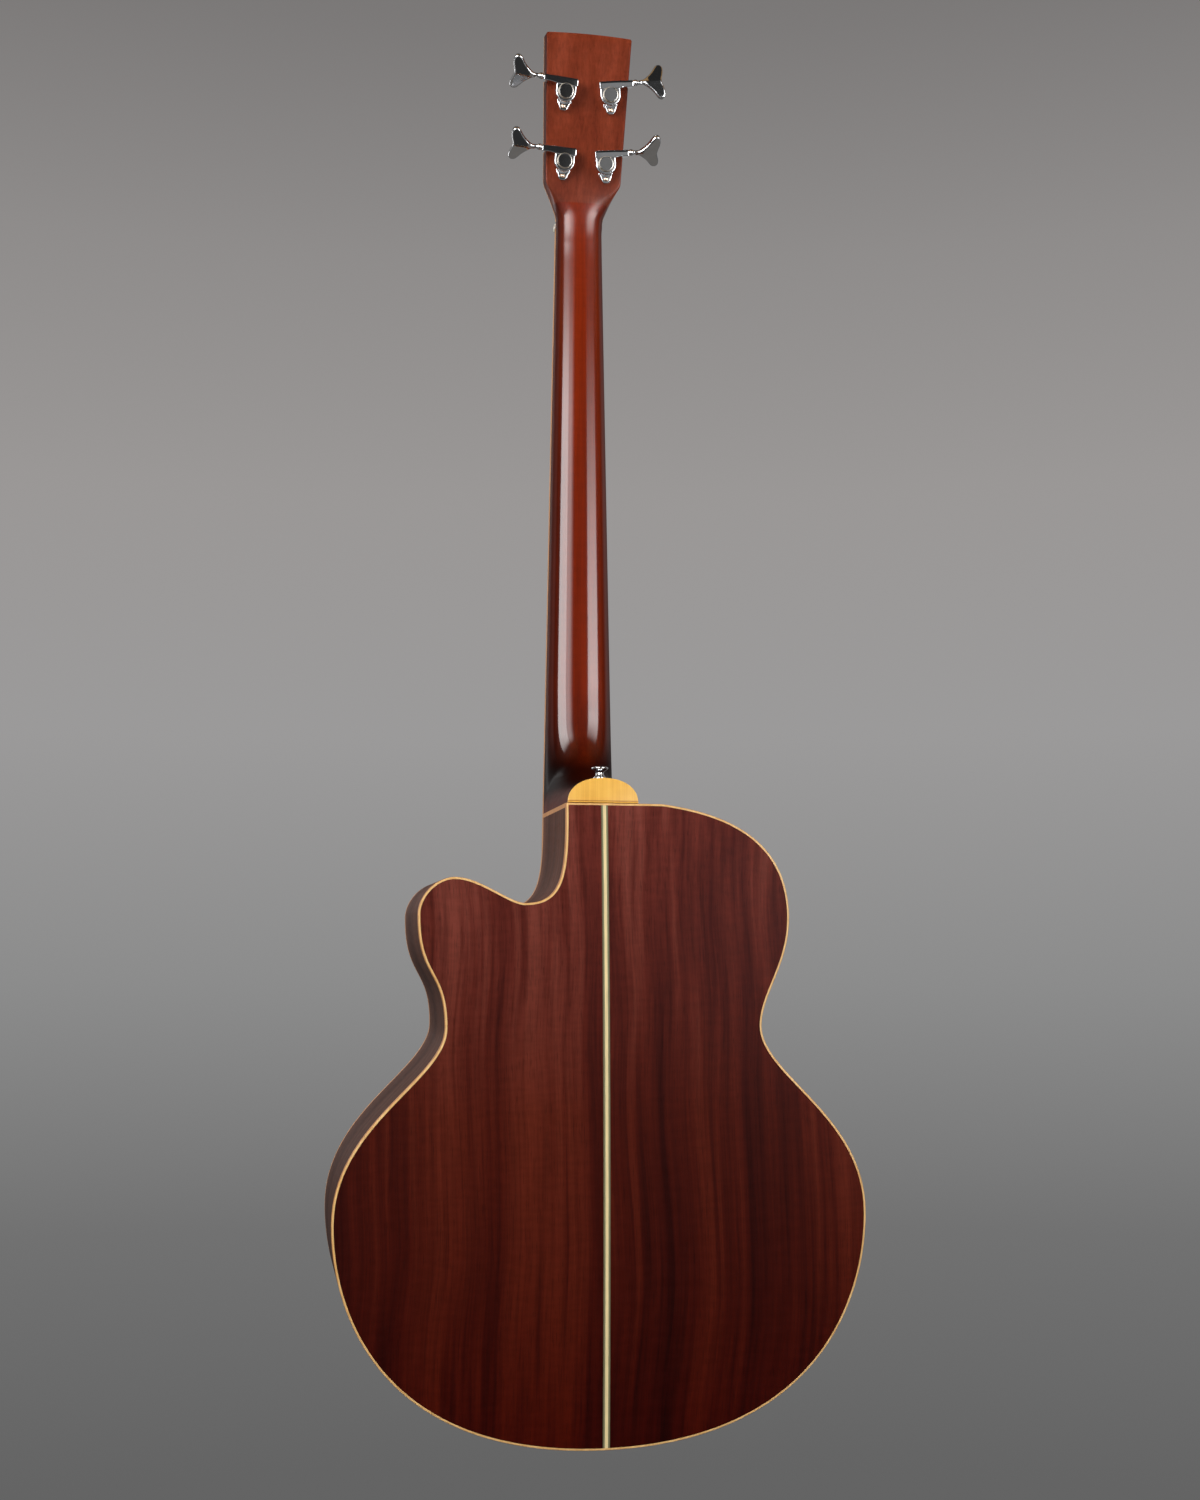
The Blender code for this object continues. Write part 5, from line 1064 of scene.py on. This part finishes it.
def make_key(name):
    """The key on its shaft: a blade whose lobes are folded back from the middle."""
    at = worm_frame(name) @ Matrix.Rotation(radians(KEY_TURNS[name]), 4, "Z")
    shaft = turned([(0, 31.4), (1.2, 31.2), (1.7, 30.4), (1.85, 29), (1.8, 27), (1.9, 26.1),
                    (2.4, 25.5), (2.8, 24.6), (2.9, 23.7), (2.7, 22.8), (2.2, 22), (1.9, 21.5),
                    (1.9, 6), (2.6, 5.2), (2.6, -6), (0, -6)], 36)
    heights, insets = (0.8, 1.7, 2.3, 2.6, 2.7), (0, 0.12, 0.45, 0.9, 1.4)
    blade = swept_plate(key_loop(), [-h for h in heights[::-1]] + list(heights), insets[::-1] + insets)
    for i in range(1, 18):
        bisect(blade, (i * 1.25, 0, 0), (1, 0, 0))
    for i in range(-10, 11):
        bisect(blade, (0, i * 1.5, 0), (0, 1, 0))
    for vert in blade.verts:
        a, b, h = vert.co / MM
        thick = (0.84 + 0.14 * ease(1 - abs(b) / 5)) * (0.62 + 0.38 * ease(a / 8))
        fold = 0.055 * abs(b) + 0.005 * b * b
        vert.co = Vector((b, h * thick - fold + 0.7, a + 28)) * MM
    merge(shaft, blade)
    piece(f"tuner_{name}_knob", shaft, "chrome", f"tuner_{name}_key",
          body=f"key_{name}", angle=42, at=at)


def carve(obj, bm):
    """Cuts a shape out of an object for good."""
    cutter = linked("carver", mesh_of(bm, "carver"))
    step = obj.modifiers.new("carve", "BOOLEAN")
    step.operation = "DIFFERENCE"
    step.solver = "EXACT"
    step.object = cutter
    bpy.context.view_layer.update()
    made = bpy.data.meshes.new_from_object(obj.evaluated_get(bpy.context.evaluated_depsgraph_get()))
    obj.modifiers.clear()
    obj.data = made
    bpy.data.objects.remove(cutter, do_unlink=True)


def make_post(name):
    """The string post with its slot, the gear that the worm drives, and the front bushing."""
    prefix, body = f"tuner_{name}_", f"post_{name}"
    at = head_frame(*POSTS[name], 0)
    low = -HEAD_THICKNESS - 0.3 - 5.8
    bm = turned([(0, 24), (4.6, 24), (5.3, 23.7), (5.6, 23.1), (5.6, 18.4), (5.3, 17.6), (4.9, 16.9),
                 (POST_RADIUS, 16.2), (POST_RADIUS, 4.4), (5.2, 3.6), (6, 3.2), (6.2, 2.8), (6.1, 2.5),
                 (POST_RADIUS, 2.4), (POST_RADIUS, low + 3), (0, low + 3)])
    post = piece(prefix + "capstan", bm, "chrome", prefix + "post", body=body, angle=38,
                 at=at)
    slot = bmesh.new()
    bmesh.ops.create_cube(slot, size=MM, matrix=at @ shift(0, 0, 23)
                          @ Matrix.Diagonal((14, 2.8, 9, 1)))
    carve(post, slot)
    gear = []
    for i in range(16):
        for radius, share in ((5.5, 0), (5.5, 0.3), (6.6, 0.45), (6.6, 0.85)):
            angle = 2 * pi * (i + share) / 16
            gear.append((radius * cos(angle), radius * sin(angle)))
    wheel = swept_plate(gear, (low - 2, low - 1.8, low + 1.8, low + 2), (0.2, 0, 0, 0.2))
    piece(prefix + "gear", wheel, "brass", body=body, at=at)
    bm = turned([(5.1, 2), (5.9, 2.1), (6.6, 1.9), (7, 1.3), (8.2, 1), (8.8, 0.6), (8.8, 0.05),
                 (6.6, 0.05), (6.6, -13), (5.1, -13), (5.1, 2)])
    piece(prefix + "ferrule", bm, "chrome", prefix + "bushing", angle=38, at=at)


def make_buttons():
    profile = [(0, 9.2), (1.4, 9.2), (2.2, 9.6), (2.9, 9.5), (3.3, 9.3), (3.6, 9.7), (4.2, 10),
               (5.6, 10), (6.5, 9.8), (7, 9.2), (7, 8.6), (6.7, 8), (5.6, 7.4), (4.4, 6.7),
               (3.5, 5.8), (3.2, 4.8), (3.3, 3.8), (3.8, 2.8), (4.7, 1.9), (5.4, 1.2), (5.5, 0.8),
               (5.5, 0), (0, 0)]
    heel_rise = 21 + (20.6 - 21) * (110 - 105) / 21
    ends = {"heel": shift(HEEL_CENTER_X, 110, HEEL_BASE + heel_rise + 0.1),
            "tail": shift(0, 65, BODY_Z + TAIL_Z - LINE_INSET - 0.1) @ Matrix.Rotation(pi, 4, "X")}
    for end, at in ends.items():
        piece(end + "_button", turned(profile, 64), "chrome", end + "_strap_button",
              angle=40, at=at)


make_bindings()
make_sides()
make_back()
make_top()
make_neck()
make_heel_cap()
make_fretboard()
make_bridge()
for string_name in STRING_COLUMNS:
    make_string(string_name)
    make_housing(string_name)
    make_key(string_name)
    make_post(string_name)
make_buttons()


# Stage

def make_stage():
    """A wide grey floor well below the object. In reflections it is darker, as the room's is."""
    level = -1750
    disc = turned([(0, level), (1000, level), (1800, level), (1900, level - 20)], 96)
    mesh = mesh_of(disc, "studio_floor")
    mesh.shade_smooth()
    n = material("studio_floor_paint")
    paint = n.add("BsdfPrincipled", {"Base Color": n.ramp(n.noise(2), (0.3, 0.28), (0.7, 0.31)),
                                     "Roughness": 0.6})
    away = n.add("VectorMath", {0: n.add("TexCoord", {}).outputs["Object"], 1: (0.1, 0.95, -1.75)},
                 operation="DISTANCE").outputs["Value"]
    near, far = 0.03, (0.15, 0.14, 0.13)
    tones = n.ramp(away, (0, near), (0.55, near), (0.85, far), (1, far))
    mirrored = n.add("Emission", {"Color": tones, "Strength": 1})
    path = n.add("LightPath", {}).outputs
    gloss = n.maths("MAXIMUM", path["Is Glossy Ray"], path["Is Transmission Ray"])
    either = n.add("MixShader", {0: gloss, 1: paint.outputs[0], 2: mirrored.outputs[0]})
    n.add("OutputMaterial", {"Surface": either.outputs[0]})
    mesh.materials.append(n.owner)
    floor = linked("studio_floor", mesh)


def make_world():
    """A grey backdrop behind the object, brightest at the height of the neck, and in
    reflections the room on the viewer's side: dark, with a pale floor, a wooden ceiling and
    a grey screen. A soft even light does the rest."""
    world = bpy.data.worlds.new("studio")
    bpy.context.scene.world = world
    n = Nodes(world)
    parts = n.split(n.add("TexCoord", {}).outputs["Generated"])
    place = n.linear(parts["Z"], 0.5, 0.5)
    tones = ((0, 0.06), (0.373, 0.128), (0.43, 0.166), (0.494, 0.262), (0.56, 0.323),
             (0.6235, 0.312), (0.683, 0.262), (0.737, 0.19), (1, 0.1))
    seen = n.ramp(place, *[(at, (tone * (1 if at < 0.5 else 1.02 if at < 0.6 else 1.045), tone,
                                 tone * (1 if at < 0.6 else 0.985))) for at, tone in tones])
    room = n.ramp(place, (0, 0.05), (0.15, 0.1), (0.2, 0.4), (0.27, 0.4), (0.33, 0.05),
                  (0.42, 0.02), (0.64, 0.02), (0.7, (0.16, 0.088, 0.036)),
                  (0.8, (0.36, 0.215, 0.095)), (1, (0.3, 0.18, 0.075)))
    lean = n.maths("MULTIPLY", n.maths("MAXIMUM", parts["Z"], 0), 37)
    screen = n.share(parts["X"], -150, n.maths("ADD", lean, -23.6))
    screen = n.maths("MULTIPLY", screen, n.share(parts["X"], 12, 4.6))
    level = n.ramp(place, (0.25, 0.02), (0.31, 0.24), (0.505, 0.24), (0.525, 0.035), (0.64, 0.035),
                   (0.68, 0.02))
    mirrored = n.mix(n.share(parts["Y"], 5, 0.3), seen, n.mix(screen, room, level))
    path = n.add("LightPath", {}).outputs
    shown = n.mix(path["Is Camera Ray"], mirrored, seen)
    direct = n.maths("ADD", path["Is Camera Ray"], path["Is Glossy Ray"])
    direct = n.maths("ADD", direct, path["Is Transmission Ray"], clamp=True)
    back = n.add("Background", {"Color": n.mix(direct, 0.28, shown), "Strength": 1})
    n.add("OutputWorld", {"Surface": back.outputs[0]})


def soft_edges(data, sides, ends):
    """Fades a lamp toward its edges, by shares of its width (left, right) and height."""
    n = Nodes(data)
    where = n.split(n.add("NewGeometry", {}).outputs["Parametric"])
    level = None
    for axis, widths in (("X", sides), ("Y", ends)):
        for value, width in ((where[axis], widths[0]), (n.maths("SUBTRACT", 1, where[axis]), widths[1])):
            if width > 0:
                step = n.add("MapRange", {"Value": value, "From Max": width},
                             interpolation_type="SMOOTHSTEP").outputs["Result"]
                level = step if level is None else n.maths("MULTIPLY", level, step)
    n.add("OutputLight", {"Surface": n.add("Emission", {"Strength": level}).outputs[0]})


def softbox(name, place, target, width, height, power, mirrored=False, sides=None, ends=(0, 0)):
    """A soft lamp that either lights the object or is only mirrored in its gloss."""
    data = bpy.data.lights.new(name, "AREA")
    data.shape = "RECTANGLE"
    data.size = width
    data.size_y = height
    data.energy = power
    obj = linked(name, data)
    obj.location = place
    obj.rotation_euler = (Vector(target) - Vector(place)).to_track_quat("-Z", "Y").to_euler()
    obj.visible_glossy = mirrored
    obj.visible_diffuse = not mirrored
    obj.visible_camera = False
    if sides is not None:
        soft_edges(data, sides, ends)


def make_lights():
    middle = (0, 0, -0.5)
    softbox("softbox_left", (1.7, 1.6, 0.65), middle, 0.8, 1.7, 43)
    softbox("softbox_right", (-1.9, 1.1, 0.45), middle, 0.6, 1.7, 31)
    softbox("softbox_front", (0.6, -2.2, 0.4), middle, 1.4, 1.4, 44)
    softbox("gloss_left", (1.5, 1.74, 0.2), (0, 0, 0.2), 1.35, 1.7, 70, True,
            (0, 0.15), (0, 0.3))
    softbox("gloss_left_soft", (0.65, 2.2, 0.2), (0, 0, 0.2), 0.95, 1.7, 25, True,
            (0, 0.55), (0, 0.3))
    softbox("gloss_right", (-1.32, 1.88, 0.12), (0, 0, 0.12), 1.2, 1.6, 54, True,
            (0, 0), (0, 0.65))
    softbox("gloss_front", (1.5, -1.9, 0.3), middle, 0.5, 1.6, 9, True)


def make_camera():
    data = bpy.data.cameras.new("photo_camera")
    data.lens = CAMERA_LENS
    data.sensor_width = 36
    camera = linked("photo_camera", data)
    camera.location = CAMERA_PLACE
    camera.rotation_euler = Vector(CAMERA_LOOK).to_track_quat("-Z", "Y").to_euler()
    bpy.context.scene.camera = camera


make_stage()
make_world()
make_lights()
make_camera()
bpy.context.scene.view_settings.view_transform = "Standard"
